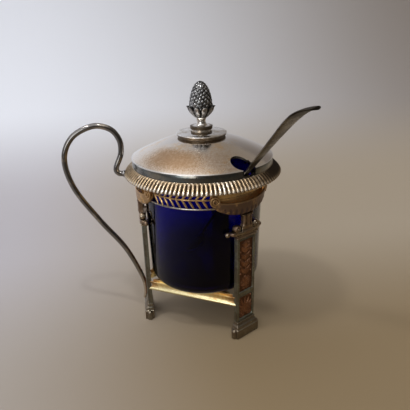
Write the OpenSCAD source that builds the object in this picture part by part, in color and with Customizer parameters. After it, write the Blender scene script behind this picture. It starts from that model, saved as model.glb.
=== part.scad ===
// Table mustard pot: openwork silver frame on three pilaster legs, glass liner, lift-off lid and spoon.
// Millimetres. The origin is on the table at the pot's upright axis, +Z is up and the handle is along -X.

/* [Legs] */
// Height of a plinth block
plinth_h = 5.5; // [4:0.5:8]
// Width of a plinth block between its noses
plinth_w = 16; // [13:0.5:20]
// Depth of a plinth block, from front to back
plinth_d = 5.4; // [4.5:0.1:8]
// Diameter of the rounded nose at each end of a plinth
nose_d = 3.2; // [2:0.1:4]
// How far a plinth goes back behind its pilaster
plinth_back = 0.5; // [0.1:0.1:2]
// Height of the moulded step on a plinth
step_h = 4; // [2:0.5:6]
// Height of a pilaster shaft between plinth and capital
pilaster_h = 51; // [40:1:70]
// Width of a pilaster
pilaster_w = 12.8; // [10:0.2:15]
// Thickness of a pilaster
pilaster_t = 2.7; // [2.4:0.1:4]
// Width of the raised border round a panel
border_w = 1.5; // [1:0.1:2.5]
// Depth of a sunk panel
panel_depth = 0.7; // [0.4:0.1:1]
// Height of the cross bar's middle above the plinth
cross_bar_z = 17; // [14:0.5:22]
// Height of the cross bar between the two panels
cross_bar_h = 3; // [2:0.5:5]
// Height of a capital
capital_h = 6.5; // [5.5:0.5:9]
// Height of each of a capital's two mouldings
moulding_h = 1.2; // [0.8:0.1:1.6]
// How far each moulding steps out from the one below
moulding_out = 0.4; // [0.2:0.1:0.8]
// Height of a capital's bar
bar_h = 1.8; // [1.2:0.1:2.4]
// Radius of a capital's scrolls
scroll_r = 2.2; // [1.4:0.1:2.6]
// Distance between the middles of a capital's knobs
knob_span = 22; // [18:0.5:26]
// Radius of a capital's knobs
knob_r = 1.35; // [1:0.05:1.8]
// Height of the stem between capital and bowl
stem_h = 6.5; // [5:0.5:12]
// Width of the stem at its waist
stem_w = 6.2; // [4:0.2:8]
// Thickness of the stem
stem_t = 2.5; // [1.8:0.1:3.5]

/* [Leg bowls] */
// Half of the angle that a bowl spans round the frieze
bowl_half_angle = 31; // [24:1:34]
// How far a bowl stands out from the frieze at its middle
bowl_reach = 3.2; // [2.4:0.1:5]
// How far a bowl stands out from the frieze at its ends
bowl_end_reach = 1.3; // [1:0.1:2]
// Height of a bowl's front lip above its bottom
bowl_h = 8.5; // [6:0.5:10]
// Wall of a bowl
bowl_wall = 0.8; // [0.6:0.1:1.2]

/* [Ring and frieze] */
// How far the gadroon ring stands out beyond the lid
ring_out = 4.5; // [3:0.1:8]
// Height of the gadroon ring
ring_h = 7.4; // [6.4:0.1:10]
// Height of the gadroons' noses above the ring's lower edge
nose_z = 3; // [2:0.1:4.5]
// Radius of those noses, seen from the side
ring_nose_r = 0.8; // [0.6:0.1:1.2]
// Width of the ring's plain underside next to the frieze
ring_under_w = 3; // [2:0.1:4]
// Slope of that underside, as its rise
ring_under_rise = 0.6; // [0.3:0.1:1.5]
// Height of the frieze that shows under the ring
frieze_show_h = 7.2; // [6:0.1:10]
// How far the frieze goes up inside the ring
frieze_tuck_h = 2; // [1.5:0.5:3]
// How far the frieze hangs above the bottom of the bowls
frieze_drop = 5.5; // [4:0.5:7]
// Wall of the frieze band
frieze_wall = 0.9; // [0.7:0.1:1.5]
// Radius of the wire along the frieze's lower edge
frieze_wire_r = 0.5; // [0.3:0.05:0.8]
// Number of pierced chevrons between two legs
chevrons = 9; // [6:1:10]
// Width of a chevron's bars, along the band
chevron_bar = 1.2; // [0.8:0.1:1.6]
// Height of the frieze's middle rib
rib_h = 0.9; // [0.6:0.1:1.5]
// Height of each row of openings in the frieze
opening_h = 2.5; // [1.5:0.1:2.7]
// Angle of the plain reserve between a bowl and the nearest chevron
reserve_angle = 4; // [2:0.5:8]

/* [Stretchers] */
// Height of the stretchers' ledges above the table
stretcher_top = 26; // [20:0.2:34]
// Height of a stretcher strip
stretcher_h = 5.6; // [4:0.2:9]
// How far a stretcher is set back from the legs' faces
stretcher_back = 1.9; // [0.6:0.1:2.2]
// Width of the ledge along a stretcher's back
ledge_w = 2.4; // [1.5:0.1:5]
// How far the ledge stands above the strip's top edge
ledge_rise = 1.2; // [0.6:0.1:2]
// Thickness of a stretcher strip
stretcher_t = 1.2; // [0.8:0.1:1.8]
// Radius of the bead along a stretcher's lower edge
stretcher_bead_r = 0.8; // [0.6:0.05:1.1]

/* [Handle] */
// Thickness of the handle wire at its top
handle_d = 2.9; // [2.2:0.1:4]
// Thickness of the handle wire at its lower end
handle_end_d = 1.5; // [1:0.1:2]
// How far the handle's loop reaches beyond the ring
handle_out = 29.7; // [24:0.1:40]
// Height of the handle's loop above the ring's top
handle_rise = 21.7; // [14:0.1:30]

/* [Glass liner] */
// Outer radius of the glass at its mouth
liner_r = 32.6; // [31:0.2:40]
// How much the glass draws in from its mouth to its foot, in radius
liner_taper = 1.2; // [0:0.2:4]
// Wall of the glass
liner_wall = 2.2; // [1.6:0.1:3.5]
// Thickness of the glass floor
liner_floor = 3; // [2:0.2:5]
// Rounding of the glass's foot edge
liner_heel = 6; // [3:0.5:7]
// Depth of the glass's rim below the ring's top
liner_drop = 5.4; // [5:0.1:12]

/* [Lid] */
// How far the lid's edge stands out beyond the glass
lid_out = 5.4; // [4:0.1:7]
// Height of the lid's upright band
lid_band_h = 3.6; // [2.5:0.1:5]
// Rise of the dome from the band to the knob's plate
dome_rise = 9.8; // [5:0.1:14]
// Sheet thickness of the dome and the band
lid_sheet = 1; // [0.8:0.1:1.5]
// Width of the lid's seat on the ring
seat_w = 3.3; // [2.6:0.1:3.6]
// Depth of the collar under the lid
bezel_h = 3.5; // [2.5:0.5:4]
// Wall of that collar
bezel_wall = 0.8; // [0.6:0.1:1.2]
// Width of the notch through the lid's edge
notch_w = 6.6; // [6:0.2:9]
// Diameter of the round end of the spoon hole
spoon_hole_d = 9; // [8:0.5:10]
// How far the spoon hole's centre is inside the edge of the glass
spoon_hole_in = 1; // [0.6:0.1:3]

/* [Knob] */
// Radius of the knob's plate
plate_r = 13.2; // [11:0.1:16]
// Thickness of the knob's plate
plate_t = 2.2; // [1.8:0.1:4]
// Height of the collar with its neck
collar_h = 6.3; // [5:0.1:9]
// Radius of the collar's drum
collar_r = 5.9; // [5:0.1:8]
// Radius of the neck
neck_r = 2.3; // [2.1:0.1:3.6]
// Height of the leaf cup
calyx_h = 7.4; // [5:0.1:10]
// Radius of the leaf cup at its tips
calyx_r = 7.4; // [6.6:0.1:9]
// Height of the pine cone above the leaf cup
cone_h = 12.6; // [9:0.1:18]
// Radius of the pine cone
cone_r = 6; // [4.5:0.1:6.4]
// Radius of the threaded stud
stud_r = 1.25; // [1:0.05:1.6]
// Height of the nut under the dome
nut_h = 2.2; // [1.5:0.1:3]
// Radius of the nut over its corners
nut_r = 3.4; // [2.8:0.1:4]

/* [Spoon] */
// Slope of the spoon's stem, in degrees from level
spoon_slope = 52.5; // [50:0.5:56]
// Width of the spoon's bowl
spoon_bowl_w = 13; // [10:0.5:16]
// Length of the spoon's bowl
spoon_bowl_l = 22; // [18:0.5:26]
// Depth of the spoon's bowl
spoon_bowl_depth = 2.6; // [1.5:0.1:4]
// Width of the stem at the bowl
spoon_neck_w = 3; // [2.4:0.1:4]
// Width of the spoon's handle at its widest
spoon_handle_w = 11.4; // [8:0.2:13]
// Width of the stem where it crosses the ring
spoon_stem_w = 4.4; // [3.6:0.1:4.8]
// Thickness of the spoon's metal
spoon_t = 1.6; // [1.2:0.1:2]
// Length of the stem from the ring's top to the spoon's end
spoon_above_l = 55; // [40:1:70]

/* [Fits] */
// Gap round the glass inside the frieze and the legs
liner_gap = 0.5; // [0.4:0.1:0.9]
// Gap between the lid's collar and the ring's bore
bezel_gap = 0.35; // [0.3:0.05:0.6]
// Gap where a part rests on another and lifts off
seat_gap = 0.1; // [0.05:0.05:0.3]
// Gap left for solder between curved faces
solder_gap = 0.05; // [0.02:0.01:0.1]
// Gap round the stud in its holes
stud_gap = 0.1; // [0.05:0.05:0.2]
// Gap between the spoon and what it leans on
spoon_gap = 0.3; // [0.2:0.05:0.6]

/* [Hidden] */
$fn = 72;
LEGS = [1, 2, 3];

// Colours
silver = "#a9a29a";
worn_silver = "#8f7a5e";
brown_silver = "#5c402a";
gilt = "#c2a468";
cobalt = "#14106a";

// Stack of heights, from the table up
foot_h = plinth_h + step_h;
capital_z = foot_h + pilaster_h;
stem_z = capital_z + capital_h;
bowl_z = stem_z + stem_h;
frieze_z = bowl_z + frieze_drop;
ring_z = frieze_z + frieze_show_h;
ring_top = ring_z + ring_h;
rib_z = frieze_z + (frieze_show_h + frieze_tuck_h - frieze_wire_r) / 2;
band_z = ring_top + seat_gap;
dome_z = band_z + lid_band_h;
plate_z = dome_z + dome_rise;
collar_z = plate_z + plate_t;
calyx_z = collar_z + collar_h;
cone_z = calyx_z + calyx_h;
liner_z = stretcher_top + seat_gap;
liner_h = ring_top - liner_drop - liner_z;

// Radii, from the glass out
liner_foot_r = liner_r - liner_taper;
lid_r = liner_r + lid_out;
ring_r = lid_r + ring_out;
handle_reach = ring_r + handle_out;
frieze_in_r = liner_r + liner_gap;
frieze_r = frieze_in_r + frieze_wall;
leg_back = liner_foot_r + liner_taper * (stem_z - liner_z) / liner_h + liner_gap;
leg_face = leg_back + pilaster_t;
ring_lip_r = frieze_r + solder_gap;
bezel_r = lid_r - seat_w;
ring_bore_r = bezel_r + bezel_gap;
leg_step = 360 / len(LEGS);

// Panels of a pilaster
panel_w = pilaster_w - 2 * border_w;
lower_panel_z = foot_h + border_w;
lower_panel_h = cross_bar_z - cross_bar_h / 2 - border_w;
upper_panel_z = foot_h + cross_bar_z + cross_bar_h / 2;
upper_panel_h = capital_z - border_w - upper_panel_z;

// Bowls: their ends reach up to the ring, and a circle in plan runs through their middle and ends
bowl_end_rise = frieze_drop + frieze_show_h - bowl_h - solder_gap;
bowl_mid_r = frieze_r + bowl_reach;
bowl_end = (frieze_r + bowl_end_reach) * [cos(bowl_half_angle), sin(bowl_half_angle)];
bowl_axis = (bowl_mid_r * bowl_mid_r - bowl_end * bowl_end) / (2 * (bowl_mid_r - bowl_end[0]));
bowl_plan_r = bowl_mid_r - bowl_axis;

// Chevrons of the frieze, between the plain reserves
chevron_step = (leg_step - 2 * bowl_half_angle - 2 * reserve_angle) / chevrons;

// Spoon line: the stem leans on the ring's bore at the leg next to the notch
spoon_azimuth = 180 + leg_step;
spoon_hole_azimuth = spoon_azimuth - 4;
spoon_hole_r = liner_r - spoon_hole_in;
spoon_lean_r = ring_bore_r - spoon_gap - spoon_t / 2 / sin(spoon_slope);

// Turns children from the +X direction to leg number i
module at_leg(i) rotate([0, 0, 180 + (i - 1) * leg_step]) children();

// Turns children from the +X direction to the middle of the gap after leg number i
module at_gap(i) rotate([0, 0, 180 + (i - 0.5) * leg_step]) children();

// Box standing on z, from front to back along X and centred across
module slab(x, z, depth, width, height) translate([x, -width / 2, z]) cube([depth, width, height]);

// Plate lying against a leg face at x, drawn as an outline of across and up
module plaque(x, thickness) translate([x, 0, 0]) rotate([90, 0, 90]) linear_extrude(thickness) children();

// Value part of the way from a to b
function mix(a, b, share) = a + (b - a) * share;

// Part of an ellipse from angle a to b round a centre
function arc(c, rx, rz, a, b, n) =
    [for (i = [0:n]) let (t = a + (b - a) * i / n) [c[0] + rx * cos(t), c[1] + rz * sin(t)]];

// Smooth curve through points p, where t runs from 0 to len(p) - 1
function curve_at(p, t) =
    let (
        last = len(p) - 1,
        i = min(floor(t), last - 1),
        u = t - i,
        b = p[i],
        c = p[i + 1],
        a = i > 0 ? p[i - 1] : 2 * b - c,
        d = i + 2 <= last ? p[i + 2] : 2 * c - b
    )
    0.5 * (2 * b + (c - a) * u + (2 * a - 5 * b + 4 * c - d) * u * u + (3 * b - a - 3 * c + d) * u * u * u);

// Unit direction of that curve
function curve_dir(p, t) =
    let (e = 0.01, last = len(p) - 1, v = curve_at(p, min(t + e, last)) - curve_at(p, max(t - e, 0)))
    v / norm(v);

// Closed solid through rings of points that all have the same count
module loft(rings) {
    n = len(rings[0]);
    last = len(rings) - 1;
    sides = [
        for (i = [0:last - 1], j = [0:n - 1])
            let (a = i * n + j, b = i * n + (j + 1) % n)
                each [[a, b, b + n], [a, b + n, a + n]]
    ];
    start_cap = [for (j = [1:n - 2]) [0, j + 1, j]];
    end_cap = [for (j = [1:n - 2]) [last * n, last * n + j, last * n + j + 1]];
    polyhedron(points = [for (r = rings) each r], faces = concat(sides, start_cap, end_cap), convexity = 10);
}

// Gadroon ring: a sloping rim with a flat seat for the lid, rounded noses and a lip that grips the frieze
module gadroon_ring() {
    color(worn_silver)
    rotate_extrude()
    polygon(concat(
        [[ring_bore_r, ring_top], [lid_r, ring_top]],
        arc([ring_r - ring_nose_r, ring_z + nose_z], ring_nose_r, ring_nose_r, 45, -90, 8),
        [
            [ring_lip_r + ring_under_w, ring_z + ring_under_rise],
            [ring_lip_r, ring_z],
            [ring_lip_r, ring_z + frieze_tuck_h],
            [ring_bore_r, ring_z + frieze_tuck_h + 1]
        ]
    ));
}

// One pierced opening of the frieze: rise is 1 above the rib and -1 below it
module chevron_opening(rise) {
    width = chevron_step * PI / 180 * frieze_r - chevron_bar;
    near = rise * rib_h / 2;
    far = rise * (rib_h / 2 + opening_h);
    lean = 0.75 * opening_h;
    polygon([[0, near], [width, near], [width + lean, far], [lean, far]]);
}

// Frieze band, pierced between the bowls with a herringbone of leaves
module frieze_band()
    color(gilt)
    difference() {
        translate([0, 0, frieze_z])
            cylinder(r = frieze_r, h = frieze_show_h + frieze_tuck_h);
        translate([0, 0, frieze_z - 1])
            cylinder(r = frieze_in_r, h = frieze_show_h + frieze_tuck_h + 2);
        for (i = LEGS, k = [0:chevrons - 1], rise = [-1, 1])
            at_gap(i)
            rotate([0, 0, (k - chevrons / 2) * chevron_step])
            translate([0, 0, rib_z])
            plaque(frieze_in_r - 2, frieze_wall + 4)
                chevron_opening(rise);
    }

// Wire under the frieze's lower edge
module frieze_wire()
    color(silver)
    translate([0, 0, frieze_z - frieze_wire_r])
    rotate_extrude()
    translate([frieze_r - frieze_wire_r, 0])
        circle(r = frieze_wire_r);

// Pilaster shaft with two sunk panels
module pilaster(i)
    color(brown_silver)
    at_leg(i)
    difference() {
        slab(leg_back, foot_h, pilaster_t, pilaster_w, pilaster_h);
        slab(leg_face - panel_depth, lower_panel_z, panel_depth + 1, panel_w, lower_panel_h);
        slab(leg_face - panel_depth, upper_panel_z, panel_depth + 1, panel_w, upper_panel_h);
    }

// Leaf outline standing on the origin, pointed at its top
module leaf(length, width) {
    side = [for (i = [1:5]) let (t = i / 6) [width / 2 * sin(180 * pow(t, 0.8)), length * t]];
    polygon(concat([[0, 0]], side, [[0, length]], [for (i = [4:-1:0]) [-side[i][0], side[i][1]]]));
}

// Relief in the panels: a leafy stem and a rosette above the bar, a palmette below it
module panel_relief(i) {
    x = leg_face - panel_depth + solder_gap;
    relief_t = panel_depth - solder_gap - 0.1;
    rosette_z = upper_panel_z + 5.5;
    stalk_z = rosette_z + 5;
    stalk_h = upper_panel_h - 13.4;
    petals = 8;
    half_w = panel_w / 2 - 0.5;
    leaf_lean = 38;
    color(worn_silver)
    at_leg(i) {
        plaque(x, relief_t)
            translate([0, rosette_z]) {
                circle(r = 1.2);
                for (k = [0:petals - 1])
                    rotate(k * 360 / petals)
                        leaf(3.6, 1.9);
            }
        plaque(x, relief_t)
            translate([0, stalk_z]) {
                translate([-0.4, 0])
                    square([0.8, stalk_h]);
                for (k = [0:2], s = [-1, 1])
                    translate([0, 1 + k * stalk_h / 3])
                    rotate(s * leaf_lean)
                        leaf((half_w - 0.8) / sin(leaf_lean), 1.9);
                translate([0, stalk_h - 1])
                    leaf(3.6, 2.2);
            }
        plaque(x, relief_t)
            translate([0, lower_panel_z + 1.4])
                for (a = [-66:33:66])
                    rotate(a)
                        leaf(min(lower_panel_h - 2.4, (half_w - 0.6) / sin(max(abs(a), 1))), 2.1);
    }
}

// Capital: two mouldings, a bar with ball ends and a scroll at each side of the stem
module capital(i) {
    bar_z = capital_z + 2 * moulding_h;
    bar_top = bar_z + bar_h;
    // Half width of the block under the stem, and the scrolls' place beside it and a little into the bar
    block = stem_w / 2 + 0.7;
    scroll_y = block + scroll_r + 0.3;
    scroll_sink = 0.2;
    // The bar is bent round the pot, and its ends go a little way into the knobs
    bar_out_r = leg_face + 3 * moulding_out;
    bar_mid_r = (leg_back + bar_out_r) / 2;
    knob_sink = 0.3;
    knob_x = sqrt(bar_mid_r * bar_mid_r - knob_span * knob_span / 4);
    color(brown_silver)
    at_leg(i) {
        for (k = [1, 2])
            slab(leg_back, capital_z + (k - 1) * moulding_h,
                pilaster_t + k * moulding_out, pilaster_w + 2 * k * moulding_out, moulding_h);
        intersection() {
            difference() {
                translate([0, 0, bar_z])
                    cylinder(r = bar_out_r, h = bar_h);
                translate([0, 0, bar_z - 1])
                    cylinder(r = leg_back, h = bar_h + 2);
            }
            slab(0, bar_z, 2 * bar_out_r, knob_span - 2 * (knob_r - knob_sink), bar_h);
        }
        slab(leg_back, bar_top, pilaster_t + 2 * moulding_out, 2 * block, stem_z - bar_top);
        for (s = [-1, 1]) {
            translate([knob_x, s * knob_span / 2, bar_z + bar_h / 2])
                sphere(r = knob_r);
            translate([leg_back + moulding_out, s * scroll_y, bar_top + scroll_r - scroll_sink])
            rotate([0, 90, 0])
                cylinder(r = scroll_r, h = pilaster_t + moulding_out);
        }
    }
}

// Plinth block with rounded noses, under a moulded step
module plinth(i) {
    back = leg_back - plinth_back;
    steps = 2;
    color(brown_silver)
    at_leg(i) {
        slab(back, 0, plinth_d, plinth_w, plinth_h);
        for (s = [-1, 1])
            translate([back + plinth_d / 2, s * plinth_w / 2, 0])
                cylinder(d = nose_d, h = plinth_h);
        // Each step draws in part of the way from the block to the pilaster
        for (k = [1:steps])
            let (
                share = k / (steps + 1),
                depth = plinth_d + (pilaster_t - plinth_d) * share,
                width = plinth_w + (pilaster_w - plinth_w) * share
            )
            slab(back + plinth_back * share, plinth_h + (k - 1) * step_h / steps, depth, width, step_h / steps);
    }
}

// Waisted stem between a capital and its bowl
module stem(i) {
    waist = stem_w / 2;
    flare = arc([waist + stem_h / 2, stem_h / 2], stem_h / 2, stem_h / 2, 215, 145, 8);
    color(worn_silver)
    at_leg(i)
    translate([0, 0, stem_z])
    plaque(frieze_r + solder_gap, stem_t)
        polygon(concat(
            [[flare[0][0], 0]],
            [for (p = flare) p],
            [[flare[8][0], stem_h]],
            [[-flare[8][0], stem_h]],
            [for (k = [8:-1:0]) [-flare[k][0], flare[k][1]]],
            [[-flare[0][0], 0]]
        ));
}

// Boat outline of a bowl seen from the front, with upturned ends
module boat() {
    lip = bowl_z + bowl_h;
    keel = arc([0, lip], bowl_end[1], bowl_h, -180, 0, 18);
    ends = [
        for (k = [0:18])
            let (s = cos(10 * k))
                [bowl_end[1] * s, lip + bowl_end_rise * (1 - pow(1 - pow(abs(s), 4), 0.25))]
    ];
    polygon(concat(keel, ends));
}

// Inside of a bowl, run up past its lip so that it is open
module boat_cavity() {
    half = bowl_end[1] - bowl_wall;
    lip = bowl_z + bowl_h;
    keel = arc([0, lip], half, bowl_h - bowl_wall, -180, 0, 18);
    polygon(concat(keel, [[half, lip + bowl_end_rise + 1], [-half, lip + bowl_end_rise + 1]]));
}

// Boat-shaped half bowl against the frieze, open at its top
module bowl(i)
    color(brown_silver)
    at_leg(i)
    difference() {
        intersection() {
            translate([bowl_axis, 0, bowl_z])
                cylinder(r = bowl_plan_r, h = bowl_h + bowl_end_rise);
            plaque(frieze_r * cos(bowl_half_angle) - 2, bowl_reach + 10)
                boat();
        }
        translate([0, 0, bowl_z - 1])
            cylinder(r = frieze_r + solder_gap, h = bowl_h + bowl_end_rise + 2);
        intersection() {
            translate([bowl_axis, 0, bowl_z])
                cylinder(r = bowl_plan_r - bowl_wall, h = bowl_h + bowl_end_rise + 1);
            plaque(frieze_r * cos(bowl_half_angle) - 3, bowl_reach + 12)
                boat_cavity();
        }
    }

// Stretcher strip with a ledge for the glass and a bead along its lower edge, cut to fit between two pilasters
module stretcher(i) {
    // Distance of the strip's outer face from the axis, so that it meets the pilasters' sides
    face = (leg_face - stretcher_back) * cos(leg_step / 2) + pilaster_w / 2 * sin(leg_step / 2);
    strip_top = stretcher_top - ledge_rise;
    low = strip_top - stretcher_h + stretcher_bead_r;
    length = 2 * leg_face;
    // The ledge lies behind the strip and goes a little way into it
    ledge_sink = 0.2;
    ledge_in = face - stretcher_t + ledge_sink - ledge_w;
    color(gilt)
    difference() {
        at_gap(i) {
            slab(face - stretcher_t, low, stretcher_t, length, strip_top - low);
            slab(ledge_in, strip_top - stretcher_t, ledge_w, length, stretcher_t + ledge_rise);
            translate([face - stretcher_t / 2, length / 2, low])
            rotate([90, 0, 0])
                cylinder(r = stretcher_bead_r, h = length);
        }
        for (k = [i, i + 1])
            at_leg(k)
                slab(0, 0, 3 * leg_face, pilaster_w, 2 * stretcher_top);
    }
}

// Handle line as distance from the axis and height: up from the ring, over and down to the leg's foot
handle_top = ring_top + handle_rise;
handle_line = [
    [ring_r + solder_gap, ring_z + nose_z],
    [ring_r + 2.9, ring_z + nose_z + 0.6],
    [ring_r + 3.7, ring_top - 0.8],
    [ring_r + 0.6, ring_top + 6.9],
    [ring_r + 0.9, handle_top - 7.4],
    [ring_r + 5.4, handle_top - 1.6],
    [handle_reach - 15.6, handle_top],
    [handle_reach - 5, handle_top - 5.4],
    [handle_reach, handle_top - 16.8],
    [handle_reach - 3.2, handle_top - 33],
    [handle_reach - 14.4, handle_top - 52.4],
    [leg_face + 10.4, foot_h + 35.6],
    [leg_face + 2.6, foot_h + 17],
    [leg_face + 0.12 + handle_end_d / 2, foot_h + 7.4],
    [leg_face + 1.1 + handle_end_d / 2, foot_h + 0.3]
];

// Handle wire, swept along its line and thinner towards its lower end
module handle() {
    sides = 12;
    steps = 5;
    last = len(handle_line) - 1;
    rings = [
        for (k = [0:last * steps])
            let (
                t = k / steps,
                p = curve_at(handle_line, t),
                d = curve_dir(handle_line, t),
                taper = max(0, (t - last / 2) / (last / 2)),
                r = (handle_d + (handle_end_d - handle_d) * taper * taper) / 2
            )
            [
                for (j = [0:sides - 1])
                    let (a = j * 360 / sides)
                        [-p[0] + d[1] * r * cos(a), r * sin(a), p[1] + d[0] * r * cos(a)]
            ]
    ];
    color(silver)
        loft(rings);
}

// Glass liner: a plain tapering beaker with a rounded foot edge and rim
module glass_liner() {
    inner_heel = liner_heel - 1.6;
    rim_round = liner_wall / 2;
    inner_foot = liner_foot_r - liner_wall;
    color(cobalt, 0.75)
    translate([0, 0, liner_z])
    rotate_extrude()
    polygon(concat(
        [[0, 0]],
        arc([liner_foot_r - liner_heel, liner_heel], liner_heel, liner_heel, -90, 0, 8),
        arc([liner_r - rim_round, liner_h - rim_round], rim_round, rim_round, 0, 180, 8),
        arc([inner_foot - inner_heel, liner_floor + inner_heel], inner_heel, inner_heel, 0, -90, 8),
        [[0, liner_floor]]
    ));
}

// Height of the dome's outer face above its edge, at distance r from the axis
function dome_height(r) =
    let (share = max(0, r - plate_r) / (lid_r - plate_r))
    dome_rise * (1 - pow(share, 1.3));

// Keyhole that the spoon stands in: a round hole and a notch out through the lid's edge
module spoon_keyhole(z, h) {
    rotate([0, 0, spoon_hole_azimuth])
    translate([spoon_hole_r, 0, z])
        cylinder(d = spoon_hole_d, h = h);
    rotate([0, 0, spoon_azimuth])
        slab(spoon_hole_r, z, lid_r, notch_w, h);
}

// Lid dome: raised sheet with a flat under the knob's plate and the spoon's keyhole
module lid_dome() {
    steps = 12;
    outside = [for (k = [0:steps]) let (r = lid_r + (plate_r - lid_r) * k / steps) [r, dome_height(r)]];
    inside = [for (k = [steps:-1:0]) [outside[k][0] - 0.4 * lid_sheet, outside[k][1] - lid_sheet]];
    hole_r = stud_r + stud_gap;
    color(silver)
    difference() {
        translate([0, 0, dome_z])
        rotate_extrude()
        intersection() {
            polygon(concat([[hole_r, dome_rise]], [[hole_r, dome_rise - lid_sheet]],
                [for (k = [0:steps]) inside[k]], [for (k = [0:steps]) outside[k]]));
            square([lid_r, dome_rise + 1]);
        }
        spoon_keyhole(dome_z - 1, dome_rise + 2);
    }
}

// Lid band: upright edge with a seat flange, notched for the spoon
module lid_band() {
    inner_r = bezel_r - bezel_wall;
    color(silver)
    difference() {
        translate([0, 0, band_z])
        rotate_extrude()
        polygon([
            [inner_r, 0],
            [lid_r, 0],
            [lid_r, lid_band_h],
            [lid_r - lid_sheet, lid_band_h],
            [lid_r - lid_sheet, lid_sheet],
            [inner_r, lid_sheet]
        ]);
        spoon_keyhole(band_z - 1, lid_band_h + 2);
    }
}

// Collar under the lid that centres it in the ring
module lid_bezel()
    color(silver)
    difference() {
        translate([0, 0, band_z - bezel_h])
            cylinder(r = bezel_r, h = bezel_h);
        translate([0, 0, band_z - bezel_h - 1])
            cylinder(r = bezel_r - bezel_wall, h = bezel_h + 2);
        spoon_keyhole(band_z - bezel_h - 1, bezel_h + 2);
    }

// Plate under the knob, with a slightly undercut edge
module finial_disc()
    color(silver)
    translate([0, 0, plate_z])
    rotate_extrude()
    polygon([
        [stud_r + stud_gap, 0],
        [plate_r - 0.9, 0],
        [plate_r, plate_t - 0.5],
        [plate_r - 0.4, plate_t],
        [stud_r + stud_gap, plate_t]
    ]);

// Collar and neck of the knob, with a blind hole for the stud
module finial_collar() {
    stud_hole_h = collar_h - 2;
    // A low drum, with a spool above it
    drum_h = 0.32 * collar_h;
    spool_r = 2;
    color(worn_silver)
    translate([0, 0, collar_z])
    rotate_extrude()
    polygon(concat(
        [[0, stud_hole_h], [stud_r + stud_gap, stud_hole_h], [stud_r + stud_gap, 0]],
        [[collar_r - 0.5, 0], [collar_r, drum_h - 0.4], [collar_r - 0.3, drum_h]],
        arc([neck_r + spool_r, mix(drum_h, collar_h, 0.5)], spool_r, (collar_h - drum_h) / 2, -135, -225, 6),
        [[neck_r + 0.6, collar_h], [0, collar_h]]
    ));
}

// Cup of leaves under the pine cone
module finial_calyx()
    color(worn_silver)
    translate([0, 0, calyx_z])
    rotate_extrude()
    polygon(concat(
        [[0, 0]],
        arc([neck_r, calyx_h], calyx_r - neck_r, calyx_h, -90, 0, 8),
        [[0, calyx_h]]
    ));

// Pine cone: an egg with its broad end in the leaf cup
module finial_cone()
    color(worn_silver)
    translate([0, 0, cone_z])
    rotate_extrude()
    polygon(concat(
        [[0, 0]],
        [for (k = [0:14]) let (t = k / 14) [cone_r * sqrt(1 - t * t) * (1 + 0.12 * t), cone_h * t]]
    ));

// Threaded stud that holds the knob on the lid
module finial_stud() {
    low = plate_z - lid_sheet - nut_h - 0.6;
    color(silver)
    translate([0, 0, low])
        cylinder(r = stud_r, h = collar_z + collar_h - 2.2 - low);
}

// Nut under the dome
module finial_nut()
    color(silver)
    translate([0, 0, plate_z - lid_sheet - nut_h])
    difference() {
        cylinder(r = nut_r, h = nut_h, $fn = 6);
        translate([0, 0, -1])
            cylinder(r = stud_r + solder_gap, h = nut_h + 2);
    }

// Spoon line from the bowl's tip to the handle's end, as distance along the notch's direction and height
spoon_run = [cos(spoon_slope), sin(spoon_slope)];
spoon_crossing = [spoon_lean_r, ring_top];
spoon_tip_z = liner_z + liner_floor + spoon_gap + spoon_t / 2 + 0.9;
spoon_down = (ring_top - spoon_tip_z) / spoon_run[1];
spoon_line = [
    spoon_crossing - spoon_down * spoon_run,
    spoon_crossing - (spoon_down - spoon_bowl_l) * spoon_run,
    spoon_crossing - spoon_down / 3 * spoon_run,
    spoon_crossing,
    spoon_crossing + spoon_above_l * [0.335, 0.385],
    spoon_crossing + spoon_above_l * [0.52, 0.58],
    spoon_crossing + spoon_above_l * [0.64, 0.655],
    spoon_crossing + spoon_above_l * [0.735, 0.68]
];

// Spoon: bowl, stem and a broad handle end, as rings across the line
module mustard_spoon() {
    half = 8;
    steps = 7;
    last = len(spoon_line) - 1;
    // Places on the line where the bowl ends, the stem crosses the ring and the handle is widest
    bowl_end_t = 1;
    ring_t = 3;
    widest_t = 5.6;
    // Half width at place t on the line
    function reach(t) =
        t < bowl_end_t ? max(0.6, spoon_bowl_w / 2 * pow(sin(180 * pow(t, 0.62)), 0.6), spoon_neck_w / 2 * t)
        : t < ring_t ? mix(spoon_neck_w, spoon_stem_w, (t - bowl_end_t) / (ring_t - bowl_end_t)) / 2
        : t < widest_t ? mix(spoon_stem_w, spoon_handle_w,
            pow(sin(90 * (t - ring_t) / (widest_t - ring_t)), 1.6)) / 2
        : spoon_handle_w / 2 * sqrt(max(0.01, 1 - pow((t - widest_t) / (last - widest_t), 2)));
    // How far the middle of the bowl is sunk at place t
    function sag(t) = t < 1 ? spoon_bowl_depth * sin(180 * t) : 0;
    rings = [
        for (k = [0:last * steps])
            let (
                t = k / steps,
                p = curve_at(spoon_line, t),
                d = curve_dir(spoon_line, t),
                w = reach(t),
                s = sag(t)
            )
            concat(
                [for (j = [0:half]) let (v = -1 + 2 * j / half) spoon_point(p, d, w * v, spoon_t / 2, s, v)],
                [for (j = [half:-1:0]) let (v = -1 + 2 * j / half) spoon_point(p, d, w * v, -spoon_t / 2, s, v)]
            )
    ];
    color(silver)
    rotate([0, 0, spoon_azimuth])
        loft(rings);
}

// Point on a spoon ring: y across, lift along the line's normal, with edges thinner than the middle
function spoon_point(p, d, y, lift, s, v) =
    let (rise = lift * (0.45 + 0.55 * sqrt(max(0, 1 - v * v))) - s * (1 - v * v))
    [p[0] - d[1] * rise, y, p[1] + d[0] * rise];

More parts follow.
